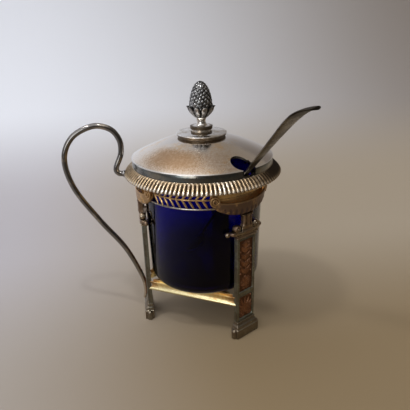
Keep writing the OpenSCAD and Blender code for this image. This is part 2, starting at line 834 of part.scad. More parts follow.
gadroon_ring();
frieze_band();
frieze_wire();
pilaster(1);  // pilaster_1
pilaster(2);  // pilaster_2
pilaster(3);  // pilaster_3
panel_relief(1);  // panel_relief_1
panel_relief(2);  // panel_relief_2
panel_relief(3);  // panel_relief_3
capital(1);  // capital_1
capital(2);  // capital_2
capital(3);  // capital_3
plinth(1);  // plinth_1
plinth(2);  // plinth_2
plinth(3);  // plinth_3
stem(1);  // stem_1
stem(2);  // stem_2
stem(3);  // stem_3
bowl(1);  // bowl_1
bowl(2);  // bowl_2
bowl(3);  // bowl_3
stretcher(1);  // stretcher_1
stretcher(2);  // stretcher_2
stretcher(3);  // stretcher_3
handle();
glass_liner();
lid_dome();
lid_band();
lid_bezel();
finial_disc();
finial_collar();
finial_calyx();
finial_cone();
finial_stud();
finial_nut();
mustard_spoon();
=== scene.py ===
from math import cos, pi, radians, sin, sqrt

import bmesh
import bpy
import numpy as np
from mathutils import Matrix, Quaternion, Vector


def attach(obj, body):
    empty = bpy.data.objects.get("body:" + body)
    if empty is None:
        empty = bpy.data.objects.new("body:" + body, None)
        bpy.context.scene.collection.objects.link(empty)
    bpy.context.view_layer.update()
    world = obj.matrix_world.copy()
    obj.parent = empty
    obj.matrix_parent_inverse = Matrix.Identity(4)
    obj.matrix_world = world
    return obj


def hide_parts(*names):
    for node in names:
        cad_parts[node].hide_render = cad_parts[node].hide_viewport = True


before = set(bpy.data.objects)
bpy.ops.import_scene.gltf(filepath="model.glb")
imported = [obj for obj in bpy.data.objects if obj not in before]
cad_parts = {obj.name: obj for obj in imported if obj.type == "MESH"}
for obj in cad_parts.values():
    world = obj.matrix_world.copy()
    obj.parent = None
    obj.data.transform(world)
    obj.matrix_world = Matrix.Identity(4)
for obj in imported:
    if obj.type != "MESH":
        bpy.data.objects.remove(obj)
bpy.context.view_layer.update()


# Plinths: the three feet, cast in silver with the legs. Each is a block with a rounded nose at either
# end, and a moulded step draws it in to the width of the leg above.
def finish_node(tree, kind, **values):
    """A node of a material, with its plain values set on its own sockets."""
    node = tree.nodes.new(kind)
    for label, value in values.items():
        node.inputs[label.replace("_", " ")].default_value = value
    return node


def blend_colour(tree, share, first, second):
    """Colour that goes from first to second as share goes from 0 to 1. Either may be a socket."""
    node = tree.nodes.new("ShaderNodeMix")
    node.data_type = "RGBA"
    tree.links.new(share, node.inputs[0])
    for socket, colour in ((node.inputs[6], first), (node.inputs[7], second)):
        if isinstance(colour, bpy.types.NodeSocket):
            tree.links.new(colour, socket)
        else:
            socket.default_value = (*colour, 1)
    return node.outputs[2]


def add_up(tree, *terms):
    """Sum of (socket, weight) terms, held between 0 and 1."""
    total = None
    for socket, weight in terms:
        node = tree.nodes.new("ShaderNodeMath")
        node.operation = "MULTIPLY_ADD"
        tree.links.new(socket, node.inputs[0])
        node.inputs[1].default_value = weight
        node.inputs[2].default_value = 0
        if total:
            tree.links.new(total, node.inputs[2])
        total = node.outputs[0]
    node.use_clamp = True
    return total


def spread(tree, socket, low, high, to_low=0.0, to_high=1.0):
    """Smooth step of a value from low to high."""
    node = tree.nodes.new("ShaderNodeMapRange")
    node.interpolation_type = "SMOOTHSTEP"
    tree.links.new(socket, node.inputs["Value"])
    for label, value in (("From Min", low), ("From Max", high), ("To Min", to_low), ("To Max", to_high)):
        node.inputs[label].default_value = value
    return node.outputs["Result"]


def new_finish(name):
    """A new material, with its node tree and its shader."""
    material = bpy.data.materials.new(name)
    material.use_nodes = True
    return material, material.node_tree, material.node_tree.nodes["Principled BSDF"]


def old_silver(
        name, clean_and_lit, stain_and_shade, dirt_and_shade, patch, polish, dull, dent, fleck=1.6, cover=0.5, wear=0.7, metal=1.0):
    """Old silver: clean metal, blotches of stain, flecks of dirt in grooves, and worn crests.

    Patch and fleck are sizes in millimetres. The groove and worn marks are on the mesh, and a mesh
    without them has neither. On some pieces the groove mark also carries painted shade, which pulls the
    colour to stain and dirt, and the worn mark carries painted light, which pulls it to clean metal.
    A thick tarnish is less metal.
    """
    grain_size, dent_depth = 0.5, 0.0002
    material, tree, shader = new_finish(name)
    shader.inputs["Metallic"].default_value = metal
    place = tree.nodes.new("ShaderNodeTexCoord").outputs["Object"]
    noises = []
    for size, detail in ((patch, 6), (fleck, 5), (grain_size, 3)):
        noise = finish_node(tree, "ShaderNodeTexNoise", Scale=1000 / size, Detail=detail, Roughness=0.62)
        tree.links.new(place, noise.inputs["Vector"])
        noises.append(noise.outputs["Fac"])
    blotch, speck, grain = noises
    marks = []
    for mark in ("tarnish_and_shade", "wear_and_light"):
        node = tree.nodes.new("ShaderNodeAttribute")
        node.attribute_name = mark
        marks.append(node.outputs["Fac"])
    tarnish_and_shade, wear_and_light = marks
    edge = 0.62 - 0.24 * cover
    patchy = spread(tree, add_up(tree, (blotch, 0.7), (speck, 0.3)), edge - 0.09, edge + 0.09)
    # Stain, with painted shade where the groove mark carries it; the worn mark, with painted light on some
    # pieces, brings back clean metal.
    stained = add_up(tree, (patchy, 0.85), (tarnish_and_shade, 0.9), (wear_and_light, -wear))
    colour = blend_colour(tree, stained, clean_and_lit, stain_and_shade)
    # Dirt in grooves, and painted shade where the groove mark carries it.
    shade_and_dirt_share = add_up(tree, (tarnish_and_shade, 0.7), (speck, 0.6), (wear_and_light, -0.7))
    colour = blend_colour(tree, spread(tree, shade_and_dirt_share, 0.42, 0.88), colour, dirt_and_shade)
    tree.links.new(colour, shader.inputs["Base Color"])
    rough = add_up(tree, (stained, dull - polish), (grain, 0.16), (tarnish_and_shade, 0.2))
    offset = tree.nodes.new("ShaderNodeMath")
    offset.inputs[1].default_value = polish - 0.08
    tree.links.new(rough, offset.inputs[0])
    tree.links.new(offset.outputs[0], shader.inputs["Roughness"])
    bump = finish_node(tree, "ShaderNodeBump", Strength=dent, Distance=dent_depth)
    tree.links.new(add_up(tree, (speck, 0.5), (grain, 0.5)), bump.inputs["Height"])
    tree.links.new(bump.outputs["Normal"], shader.inputs["Normal"])
    return material


def skin(rings, ends=True):
    """Skin over rings of points, each closed round, with flat ends or without."""
    n = len(rings[0])
    faces = [
        (i * n + j, i * n + (j + 1) % n, (i + 1) * n + (j + 1) % n, (i + 1) * n + j)
        for i in range(len(rings) - 1)
        for j in range(n)
    ]
    if ends:
        last = (len(rings) - 1) * n
        faces += [tuple(range(n)), tuple(range(last, last + n))]
    return np.vstack(rings), faces


def joined(*shapes):
    """Several shapes as one list of points and faces."""
    faces, start = [], 0
    for points, own in shapes:
        faces += [tuple(i + start for i in face) for face in own]
        start += len(points)
    return np.vstack([points for points, _ in shapes]), faces


def block_outline(back, front, half, corner, z, steps=4):
    """Outline of a block at height z, from back to front along X, with rounded corners."""
    corners = (
        (front - corner, half - corner, 0),
        (back + corner, half - corner, 90),
        (back + corner, corner - half, 180),
        (front - corner, corner - half, 270),
    )
    return np.array([
        (x + corner * cos(radians(a + 90 * k / steps)), y + corner * sin(radians(a + 90 * k / steps)), z)
        for x, y, a in corners
        for k in range(steps + 1)
    ])


def turned(points, degrees):
    """Points turned about the pot's upright axis."""
    c, s = cos(radians(degrees)), sin(radians(degrees))
    return np.asarray(points, float) @ np.array([[c, s, 0], [-s, c, 0], [0, 0, 1]])


def arc(middle, radius, start, end, count, rise=None):
    """Points on an arc of a circle, or of an ellipse with its own rise, between angles in radians."""
    rise = radius if rise is None else rise
    return [(middle[0] + radius * cos(a), middle[1] + rise * sin(a)) for a in np.linspace(start, end, count)]


def moved(shape, shift):
    """A shape moved by a shift."""
    return shape[0] + np.asarray(shift), shape[1]


def swung(shape, degrees):
    """A shape turned about the pot's upright axis."""
    return turned(shape[0], degrees), shape[1]


def lathe(profile, turns, loop=True):
    """A profile of (radius, height) turned about the pot's upright axis."""
    n = len(profile)
    section = [(r, 0, z) for r, z in profile]
    points = np.vstack([turned(section, 360 * k / turns) for k in range(turns)])
    last = n if loop else n - 1
    faces = [
        (k * n + j, (k + 1) % turns * n + j, (k + 1) % turns * n + (j + 1) % n, k * n + (j + 1) % n)
        for k in range(turns)
        for j in range(last)
    ]
    return points, faces


# Points nearer to each other than this, in metres, are one point
weld_reach = 2e-7


def make_piece(name, shape, finish, crisp=35, marks=None):
    """A shape in millimetres as an object in metres, with outward faces and crisp edges."""
    points, faces = shape
    mesh = bpy.data.meshes.new(name)
    mesh.from_pydata((np.asarray(points, float) / 1000).tolist(), [], [tuple(map(int, f)) for f in faces])
    for mark, values in (marks or {}).items():
        mesh.attributes.new(mark, "FLOAT", "POINT").data.foreach_set("value", np.asarray(values, np.float32))
    work = bmesh.new()
    work.from_mesh(mesh)
    bmesh.ops.remove_doubles(work, verts=work.verts, dist=weld_reach)
    bmesh.ops.recalc_face_normals(work, faces=work.faces)
    work.to_mesh(mesh)
    work.free()
    mesh.materials.append(finish)
    mesh.shade_smooth()
    mesh.set_sharp_from_angle(angle=radians(crisp))
    made = bpy.data.objects.new(name, mesh)
    bpy.context.scene.collection.objects.link(made)
    return made


def leg_azimuth(i):
    """Direction of leg i, seen from above: the first leg is under the handle."""
    return 180 + 120 * (i - 1)


def on_leg(i, shape):
    """A shape that was made along +X, turned to leg i."""
    return swung(shape, leg_azimuth(i))


LEGS = (1, 2, 3)
leg_back, leg_face, leg_half = 32.69, 35.39, 6.4
foot_top = 9.5
foot_silver = old_silver(
    "foot_silver", (0.27, 0.245, 0.19), (0.2, 0.155, 0.11), (0.045, 0.03, 0.02), patch=6, cover=0.6,
    polish=0.24, dull=0.42, dent=0.3)
# Height, back, front, half width and corner of each outline of a plinth, from the table up
plinth_steps = (
    (0, 32.35, 37.4, 7.9, 0.4), (0.25, 32.2, 37.6, 8.0, 0.5), (4.7, 32.2, 37.6, 8.0, 0.5),
    (5.3, 32.25, 37.45, 7.9, 0.5), (5.5, 32.35, 37.05, 7.6, 0.5), (5.8, 32.35, 36.9, 7.4, 0.4),
    (6.5, 32.35, 36.95, 7.4, 0.4), (7.1, 32.4, 36.75, 7.25, 0.4), (7.4, 32.5, 36.3, 6.95, 0.4),
    (7.9, 32.55, 36.0, 6.75, 0.3), (8.6, 32.6, 35.75, 6.6, 0.3), (9.0, 32.65, 35.9, 6.7, 0.3),
    (9.35, 32.69, 35.85, 6.65, 0.3), (foot_top, 32.69, 35.6, 6.5, 0.2),
)
plinth_body = skin([block_outline(*outline, z) for z, *outline in plinth_steps])
nose_x, nose_y, nose_shoulder, nose_reach, nose_rise = 34.89, 8, 4.3, 1.6, 1.4
nose_profile = [(0, 0), (1.4, 0), (nose_reach, 0.3), (nose_reach, nose_shoulder)]
nose_profile += arc((0, nose_shoulder), nose_reach, 0.2, pi / 2, 7, nose_rise)
nose = lathe(nose_profile, 20, loop=False)
plinth_shape = joined(plinth_body, *(moved(nose, (nose_x, side * nose_y, 0)) for side in (-1, 1)))
for i in LEGS:
    plinth = make_piece(f"foot_{i}", on_leg(i, plinth_shape), foot_silver, 40)
    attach(plinth, "frame")
    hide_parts(f"plinth_{i}")


# Pilasters: flat leg shafts, cast in silver, with two sunk panels, a bead round each and a fine line
# in the border. They stand on the plinths and carry the capitals.
def grid_faces(rows, cols):
    """Faces between neighbours in a grid of points, row by row."""
    return [
        (r * cols + c, r * cols + c + 1, (r + 1) * cols + c + 1, (r + 1) * cols + c)
        for r in range(rows - 1)
        for c in range(cols - 1)
    ]


def front_relief(height, back, y_span, z_span, pitch):
    """Slab whose front is a height field over across and up. Also gives each point's height."""
    ys = np.linspace(*y_span, round((y_span[1] - y_span[0]) / pitch) + 1)
    zs = np.linspace(*z_span, round((z_span[1] - z_span[0]) / pitch) + 1)
    y, z = np.meshgrid(ys, zs)
    front = height(y, z)
    rows, cols = y.shape
    grid = np.stack([front, y, z], -1).reshape(-1, 3)
    rear = np.array([(back, ys[c], zs[r]) for r, c in ((0, 0), (0, -1), (-1, -1), (-1, 0))])
    a, b, c, d = rows * cols + np.arange(4)
    top = (rows - 1) * cols
    faces = grid_faces(rows, cols) + [
        (a, d, c, b),
        (a, b, *range(cols - 1, -1, -1)),
        (c, d, *range(top, top + cols)),
        (b, c, *range(top + cols - 1, cols - 2, -cols)),
        (d, a, *range(0, top + 1, cols)),
    ]
    return (np.vstack([grid, rear]), faces), front.reshape(-1)


def step_up(value, low, high):
    """Smooth step from 0 at low to 1 at high."""
    t = np.clip((value - low) / (high - low), 0, 1)
    return t * t * (3 - 2 * t)


shaft_low, shaft_top = foot_top, 60.5
panel_half, panel_sink = 4.9, 0.7
panels = ((11.0, 25.0), (28.0, 59.0))


def into_panels(y, z):
    """How far a point is inside the nearest panel, or outside it if negative."""
    depths = [np.minimum(panel_half - np.abs(y), np.minimum(z - low, top - z)) for low, top in panels]
    return np.max(depths, axis=0)


def shaft_front(y, z):
    """Face of a shaft: rounded edges, a fine line in the border, a bead and the sunk panels."""
    edge_round, line_depth, bead_rise = 0.5, 0.22, 0.16
    edge = np.minimum(leg_half - np.abs(y), np.minimum(z - shaft_low, shaft_top - z) + 0.6)
    inside = into_panels(y, z)
    on_round = np.clip(edge_round - edge, 0, edge_round)
    rounding = edge_round - np.sqrt(np.clip(edge_round**2 - on_round**2, 0, None))
    line = line_depth * np.exp(-(((edge - 0.72) / 0.14) ** 2))
    bead = bead_rise * np.exp(-(((inside + 0.22) / 0.2) ** 2))
    return leg_face - rounding - line + bead - panel_sink * step_up(inside, -0.02, 0.3)


shaft_pitch = 0.16
shaft, shaft_x = front_relief(
    shaft_front, leg_back, (-leg_half, leg_half), (shaft_low, shaft_top), shaft_pitch)
rear_marks = np.zeros(4)
shaft_marks = {
    "tarnish_and_shade": np.append(0.55 * step_up(leg_face - shaft_x, 0.1, 0.6), rear_marks),
    "wear_and_light": np.append(0.35 * step_up(shaft_x - leg_face, 0.02, 0.14), rear_marks),
}
leg_silver = old_silver(
    "leg_silver", (0.235, 0.255, 0.225), (0.17, 0.15, 0.11), (0.07, 0.05, 0.032), patch=7, cover=0.5,
    polish=0.22, dull=0.38, dent=0.2)
for i in LEGS:
    pilaster = make_piece(f"leg_shaft_{i}", on_leg(i, shaft), leg_silver, 50, shaft_marks)
    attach(pilaster, "frame")
    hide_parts(f"pilaster_{i}")


# Panel reliefs: thin cast silver, stained red-brown and let into the sunk panels. A leafy stem grows
# over a rosette in the long panel, and a palmette fans out in the short one.
def leaf_rise(y, z, root, lean, length, width):
    """Height of a leaf from its root, leaning lean degrees from upright, with a sunk midrib."""
    vein = 0.16
    c, s = cos(radians(lean)), sin(radians(lean))
    along = (z - root[1]) * c + (y - root[0]) * s
    across = (y - root[0]) * c - (z - root[1]) * s
    t = np.clip(along / length, 1e-3, 1 - 1e-3)
    half = width / 2 * np.sin(pi * t**0.75)
    body = np.sqrt(np.clip(1 - (across / half) ** 2, 0, None)) * (0.55 + 0.45 * np.sin(pi * t))
    body *= 1 - 0.5 * np.exp(-((across / vein) ** 2))
    return np.where((along > 0) & (along < length), body, 0)


def curl_rise(y, z, centre, reach, side):
    """Height of a spiral tendril round a centre."""
    width, turns = 0.34, 1.6
    dy, dz = (y - centre[0]) * side, z - centre[1]
    r, a = np.hypot(dy, dz), np.arctan2(dz, dy)
    turn = (r / reach * turns - a / (2 * pi)) % 1
    ridge = np.exp(-(((turn - 0.5) * reach / turns / width) ** 2))
    return np.where(r < reach, 0.75 * ridge, 0)


def knob_rise(y, z, centre, reach):
    """Height of a small round boss."""
    return np.sqrt(np.clip(1 - ((y - centre[0]) ** 2 + (z - centre[1]) ** 2) / reach**2, 0, None))


rosette, palmette = (0, 33.5), (0, 14.4)
stalk_low, stalk_top, sprig_low, sprig_step = 38, 56, 38.2, 4.3


def long_ornament(y, z):
    """Rosette, and over it a stem with pairs of leaves, buds and a top flower."""
    parts = [knob_rise(y, z, rosette, 1.25)]
    for k in range(8):
        parts.append(leaf_rise(y, z, rosette, 45 * k, 3.9, 2.5))
        parts.append(0.55 * leaf_rise(y, z, rosette, 45 * k + 22.5, 4.1, 1.7))
    parts.append(0.7 * np.exp(-((y / 0.32) ** 2)) * (z > stalk_low) * (z < stalk_top))
    for k in range(4):
        root = sprig_low + sprig_step * k
        for side in (-1, 1):
            parts.append(leaf_rise(y, z, (0, root), side * 36, 5.6, 2.5))
            parts.append(0.8 * leaf_rise(y, z, (0, root + 1.6), side * 62, 4.2, 1.7))
            parts.append(0.8 * knob_rise(y, z, (side * 3.7, root + 1.0), 0.55))
        parts.append(0.9 * leaf_rise(y, z, (0, root), 0, 4.4, 1.6))
    parts += [leaf_rise(y, z, (0, 54.4), lean, 4.0, 1.7) for lean in (-48, -24, 0, 24, 48)]
    parts += [leaf_rise(y, z, (0, 29.0), lean, 2.9, 1.4) for lean in (-70, -35, 35, 70)]
    return np.max(parts, axis=0)


def short_ornament(y, z):
    """Palmette of nine leaves over two tendrils."""
    parts = [leaf_rise(y, z, palmette, 20 * k, 9.6 - 0.28 * k * k, 1.9) for k in range(-4, 5)]
    parts.append(knob_rise(y, z, (0, 14.3), 1.0))
    for side in (-1, 1):
        parts.append(curl_rise(y, z, (side * 2.6, 13.2), 1.9, side))
        parts.append(0.9 * knob_rise(y, z, (side * 4.0, 23.6), 0.6))
    return np.max(parts, axis=0)


panel_floor, relief_rise = leg_face - panel_sink, 0.58
relief_base, relief_gap, relief_pitch = 0.05, 0.2, 0.13
reliefs, relief_grooves, relief_crests = [], [], []
for (low, top), ornament in zip(panels, (short_ornament, long_ornament)):
    slab, front = front_relief(
        lambda y, z: panel_floor + relief_base + relief_rise * ornament(y, z), panel_floor - relief_base,
        (relief_gap - panel_half, panel_half - relief_gap), (low + relief_gap, top - relief_gap),
        relief_pitch)
    share = (front - panel_floor - relief_base) / relief_rise
    reliefs.append(slab)
    relief_grooves.append(np.append(0.5 - 0.5 * step_up(share, 0.0, 0.45), rear_marks))
    relief_crests.append(np.append(0.7 * step_up(share, 0.62, 1.0), rear_marks))
red_silver = old_silver(
    "red_silver", (0.36, 0.18, 0.105), (0.2, 0.095, 0.05), (0.08, 0.04, 0.024), patch=4, fleck=0.9,
    cover=0.6, polish=0.22, dull=0.38, dent=0.2)
relief_marks = {"tarnish_and_shade": np.concatenate(relief_grooves), "wear_and_light": np.concatenate(relief_crests)}
for i in LEGS:
    relief = make_piece(f"leg_ornament_{i}", on_leg(i, joined(*reliefs)), red_silver, 60, relief_marks)
    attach(relief, "frame")
    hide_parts(f"panel_relief_{i}")


# Capitals: leg heads, cast in silver and soldered to the shafts. Two mouldings carry a bar with a ball
# at each end, and a pair of scrolls flanks the block under the stem.
def tube(line, radii, sides=10):
    """Round wire along a line of points, with a radius at each."""
    line = np.asarray(line, float)
    ahead = np.gradient(line, axis=0)
    ahead /= np.linalg.norm(ahead, axis=1)[:, None]
    side = np.cross(ahead[0], (0, 0, 1.0) if abs(ahead[0][2]) < 0.9 else (1.0, 0, 0))
    rings = []
    for point, way, r in zip(line, ahead, radii):
        side = side - way * (side @ way)
        side /= np.linalg.norm(side)
        other = np.cross(way, side)
        angles = np.linspace(0, 2 * pi, sides, endpoint=False)
        rings.append(point + r * (np.outer(np.cos(angles), side) + np.outer(np.sin(angles), other)))
    return skin(rings)


# Height, step out from the shaft, half width and corner of each outline of the mouldings, going up
capital_steps = (
    (60.5, 0.1, 6.5, 0.2), (60.6, 0.45, 6.85, 0.3), (60.95, 0.55, 6.95, 0.3), (61.25, 0.4, 6.8, 0.3),
    (61.4, 0.2, 6.6, 0.2), (61.65, 0.22, 6.65, 0.2), (61.95, 0.45, 6.9, 0.3), (62.35, 0.8, 7.3, 0.3),
    (62.75, 0.95, 7.5, 0.3), (62.9, 0.9, 7.4, 0.3), (62.95, 0.7, 7.2, 0.3),
)
capital_base = skin([
    block_outline(leg_back, leg_face + out, half, corner, z) for z, out, half, corner in capital_steps])
# The bar is bent round the pot at this distance from the axis
bar_radius, bar_z, bar_depth, bar_height, bar_corner = 34.64, 63.8, 1.93, 0.9, 0.45
ball_y, ball_radius = 11.0, 1.4
bar_rows = [(10.2, 0.35), (9.7, 0.55), (9.4, 0.8), (9.2, 0.97), (8.9, 1.0)]
bar_rows += [(y, 1.0) for y in (7.5, 6, 4, 2)]
bar_rows = [(-y, share) for y, share in bar_rows] + [(0, 1.0)] + bar_rows[::-1]
bar_rings = []
for y, share in bar_rows:
    depth, height = bar_depth * share, bar_height * share
    outline = block_outline(-depth, depth, height, bar_corner * share, 0, 3)
    outline += (sqrt(bar_radius**2 - y * y), bar_z, 0)
    bar_rings.append(np.column_stack([outline[:, 0], np.full(len(outline), y), outline[:, 1]]))
ball = lathe(arc((0, 0), ball_radius, -pi / 2, pi / 2, 13), 20, loop=False)
scroll_y, scroll_z, scroll_back, scroll_face = 6.3, 66.4, 33.1, 35.79
disc_profile = [
    (0, scroll_back), (1.85, scroll_back), (1.95, scroll_back + 0.3), (1.95, scroll_face - 0.3),
    (1.75, scroll_face), (0.6, scroll_face - 0.1), (0, scroll_face - 0.1)]
disc_points, disc_faces = lathe(disc_profile, 28, loop=False)
disc = disc_points[:, [2, 0, 1]], disc_faces
spiral_turns, spiral_points = 2.3, 70
spiral = np.linspace(0, spiral_turns * 2 * pi, spiral_points)
wound = spiral / spiral[-1]
reach = 1.7 - 1.4 * wound
balls, scrolls = [], []
for side in (-1, 1):
    balls.append(moved(ball, (sqrt(bar_radius**2 - ball_y**2), side * ball_y, bar_z)))
    hub = np.array((0, side * scroll_y, scroll_z))
    coil_y, coil_z = side * reach * np.sin(spiral), -reach * np.cos(spiral)
    coil = hub + np.column_stack([np.full(spiral_points, scroll_face), coil_y, coil_z])
    eye = [hub + (x, 0, 0) for x in (35.2, 35.9, 36.3)]
    scrolls += [moved(disc, hub), tube(coil, 0.36 - 0.1 * wound, 8), tube(eye, (0.6, 0.6, 0.25))]
block_rows = ((64.6, 0), (65.4, 0.1), (66.2, 0.3), (66.7, 0.1), (67, 0.2))
capital_block = skin([
    block_outline(leg_back, leg_face + 0.8 - draw, 3.8 - draw, 0.3, z) for z, draw in block_rows])
capital_shape = joined(capital_base, skin(bar_rings), *balls, *scrolls, capital_block)
brown_silver = old_silver(
    "brown_silver", (0.36, 0.3, 0.22), (0.26, 0.17, 0.11), (0.045, 0.03, 0.02), patch=6, cover=0.6,
    polish=0.24, dull=0.42, dent=0.3)
for i in LEGS:
    capital = make_piece(f"leg_head_{i}", on_leg(i, capital_shape), brown_silver, 40)
    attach(capital, "frame")
    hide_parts(f"capital_{i}")


# Stems: short waisted supports, cast in silver with a reeded front and a small collar at each end.
# They are soldered between the leg heads and the bowls.
stem_low, stem_top, stem_back = 66.95, 73.7, 34.05
stem_reeds, stem_angles = 7, np.linspace(-pi / 2, pi / 2, 29)
stem_rings, stem_groove = [], []
for z in np.linspace(stem_low, stem_top, 22):
    share = (z - stem_low) / (stem_top - stem_low)
    collar = np.exp(-(((share - 0.1) / 0.05) ** 2)) + np.exp(-(((share - 0.92) / 0.05) ** 2))
    half = 3.1 + 0.75 * (2 * share - 1) ** 4 + 0.22 * collar
    outline = [(0, -half)]
    for a in stem_angles:
        outline.append((1.55 + cos(a) + 0.16 * cos(stem_reeds * a) + 0.2 * collar, half * sin(a)))
    outline.append((0, half))
    stem_rings.append(np.array([(stem_back + x, y, z) for x, y in outline]))
    stem_groove += [0.0] + [0.3 - 0.3 * cos(stem_reeds * a) for a in stem_angles] + [0.0]
stem_shape = skin(stem_rings)
for i in LEGS:
    stem = make_piece(f"bowl_stem_{i}", on_leg(i, stem_shape), brown_silver, 50, {"tarnish_and_shade": stem_groove})
    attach(stem, "frame")
    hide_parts(f"stem_{i}")


# Bowls: boat-shaped half bowls that join the stems to the frieze. They are cast in silver with a
# fluted belly, a beaded lip and a curled end at each side, and soldered to the band behind.
bowl_half, bowl_axis, bowl_plan, bowl_wall = 31.0, 9.93, 27.27, 0.8
band_face = 34.05
lip_low, lip_rise, belly = 80.9, 5.2, 7.4
bowl_end_y, bowl_flutes = 18.18, 13


def bowl_lip(u):
    """Reach from the axis, height of the lip and height of the keel, u from -1 to 1 across a bowl."""
    a = radians(bowl_half * u)
    reach = bowl_axis * cos(a) + sqrt(bowl_plan**2 - (bowl_axis * sin(a)) ** 2)
    share = min(1.0, abs(reach * sin(a)) / bowl_end_y)
    return reach, lip_low + lip_rise * (1 - (1 - share**4) ** 0.25), lip_low - belly * sqrt(1 - share * share)


def bowl_point(u, v, wall):
    """Point on a bowl's wall, v from 0 at the lip to 1 at the band, wall inwards from its outside."""
    reach, lip, keel = bowl_lip(u)
    a = radians(bowl_half * u)
    out = (reach - wall - band_face) * cos(v * pi / 2) ** 0.62
    z = lip - (lip - keel - wall) * sin(v * pi / 2) ** 0.85
    fluted = 0.0
    if wall == 0:
        fluted = step_up(v, 0.12, 0.4) * (1 - step_up(v, 0.62, 0.85)) * (1 - step_up(abs(u), 0.65, 0.9))
    ridge = abs(cos(bowl_flutes * pi * u / 2))
    out += 0.34 * fluted * (ridge - 0.35)
    r = band_face + max(out, 0)
    return (r * cos(a), r * sin(a), z), 0.4 * fluted * (1 - ridge)


across, down = np.linspace(-1, 1, 145), np.linspace(0, 1, 19)
bowl_rings, bowl_groove, bowl_worn = [], [], []
for u in across:
    ring = [bowl_point(u, v, 0.0) for v in down] + [bowl_point(u, v, bowl_wall) for v in down[::-1]]
    bowl_rings.append(np.array([p for p, _ in ring]))
    bowl_groove += [max(g, 0.08) for _, g in ring]
    bowl_worn += [0.0] * len(down) + [1.0] * len(down)
hull = skin(bowl_rings)
lip_line = [np.array(bowl_point(u, 0.0, 0.35)[0]) for u in across]
lip_bead = tube(lip_line, np.full(len(across), 0.46), 8)
curl_turns, curl_points = 1.9, 60
curls = []
for side in (-1, 1):
    a = radians(bowl_half * side)
    out, round_way = np.array((cos(a), sin(a), 0)), np.array((-sin(a), cos(a), 0)) * side
    turn = np.linspace(0, curl_turns * 2 * pi, curl_points)
    reach = 2.6 - 2.1 * turn / turn[-1]
    hub = np.array(bowl_point(side, 0.4, 0.2)[0]) - round_way * 1.5 + out * 0.45 + np.array((0, 0, 0.2))
    coil = [
        hub + round_way * r * sin(t) - np.array((0, 0, r * cos(t))) + out * 0.6 * t / turn[-1]
        for t, r in zip(turn, reach)
    ]
    curls.append(tube(coil, np.linspace(0.55, 0.4, curl_points), 8))
bowl_shape = joined(hull, lip_bead, *curls)
bowl_marks = {}
for mark, values, bead in (("tarnish_and_shade", bowl_groove, 0.0), ("wear_and_light", bowl_worn, 0.08)):
    bowl_marks[mark] = np.append(values, np.full(len(bowl_shape[0]) - len(values), bead))
bowl_marks["wear_and_light"][-sum(len(points) for points, _ in curls):] = 0.25
bowl_silver = old_silver(
    "bowl_silver", (0.95, 0.58, 0.22), (0.09, 0.055, 0.047), (0.035, 0.022, 0.018), patch=5, fleck=1.1,
    cover=0.95, polish=0.2, dull=0.38, wear=1.0, dent=0.3, metal=0.6)
for i in LEGS:
    # Painted light: the first leg's bowl, on the lit left, is made lighter through the worn mark.
    rub_and_light = 0.3 if i == 1 else 0.0
    marks = {"tarnish_and_shade": bowl_marks["tarnish_and_shade"], "wear_and_light": np.maximum(bowl_marks["wear_and_light"], rub_and_light)}
    bowl = make_piece(f"leg_bowl_{i}", on_leg(i, bowl_shape), bowl_silver, 50, marks)
    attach(bowl, "frame")
    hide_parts(f"bowl_{i}")


# Frieze band: the gallery under the rim, a gilt silver strip bent round and soldered. It is plain
# behind the bowls, with a middle rib and a top rail that run all the way round.
band_in, band_out = 33.1, 34.0
band_low, band_top, rail_low, plate_top = 79.0, 88.2, 86.6, 87.6
rib_middle, rib_in, rib_half = 83.35, band_in + 0.1, 0.42
reserve_half, plate_steps, plate_point = 33.2, 96, 4.5


def curved_plate(start, end, low, top):
    """Plate bent round the axis between two directions, with ends that come to a point."""
    rings = []
    for k in range(plate_steps + 1):
        share = k / plate_steps
        a = radians(start + (end - start) * share)
        near = min(share, 1 - share) * (end - start)
        draw = min(1.0, 0.12 + 0.88 * sqrt(min(1.0, near / plate_point)))
        half, middle = (top - low) / 2 * draw, (top + low) / 2
        corners = ((band_in, -half), (band_out, -half), (band_out, half), (band_in, half))
        rings.append(np.array([(r * cos(a), r * sin(a), middle + up) for r, up in corners]))
    return skin(rings)


plates = []
for i in LEGS:
    way = leg_azimuth(i)
    plates.append(curved_plate(way - reserve_half, way + reserve_half, band_low, plate_top))
rib_face = ((-0.1, -rib_half), (0.08, -0.2), (0.12, 0), (0.08, 0.2), (-0.1, rib_half))
rib_profile = [(rib_in, rib_middle - rib_half)]
rib_profile += [(band_out + out, rib_middle + up) for out, up in rib_face]
rib_profile.append((rib_in, rib_middle + rib_half))
rail_profile = [(band_in, rail_low), (band_out, rail_low), (band_out, band_top), (band_in, band_top)]
gilt_silver = old_silver(
    "gilt_silver", (0.76, 0.5, 0.21), (0.27, 0.155, 0.08), (0.07, 0.035, 0.02), patch=5, cover=0.55,
    polish=0.14, dull=0.34, dent=0.2, metal=0.75)
band_shape = joined(*plates, lathe(rib_profile, 240), lathe(rail_profile, 240))
plate_worn = np.zeros(len(band_shape[0]))
plate_worn[:len(LEGS) * len(plates[0][0])] = 1
band = make_piece("gallery_band", band_shape, gilt_silver, 35, {"wear_and_light": plate_worn})
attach(band, "frame")
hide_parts("frieze_band")


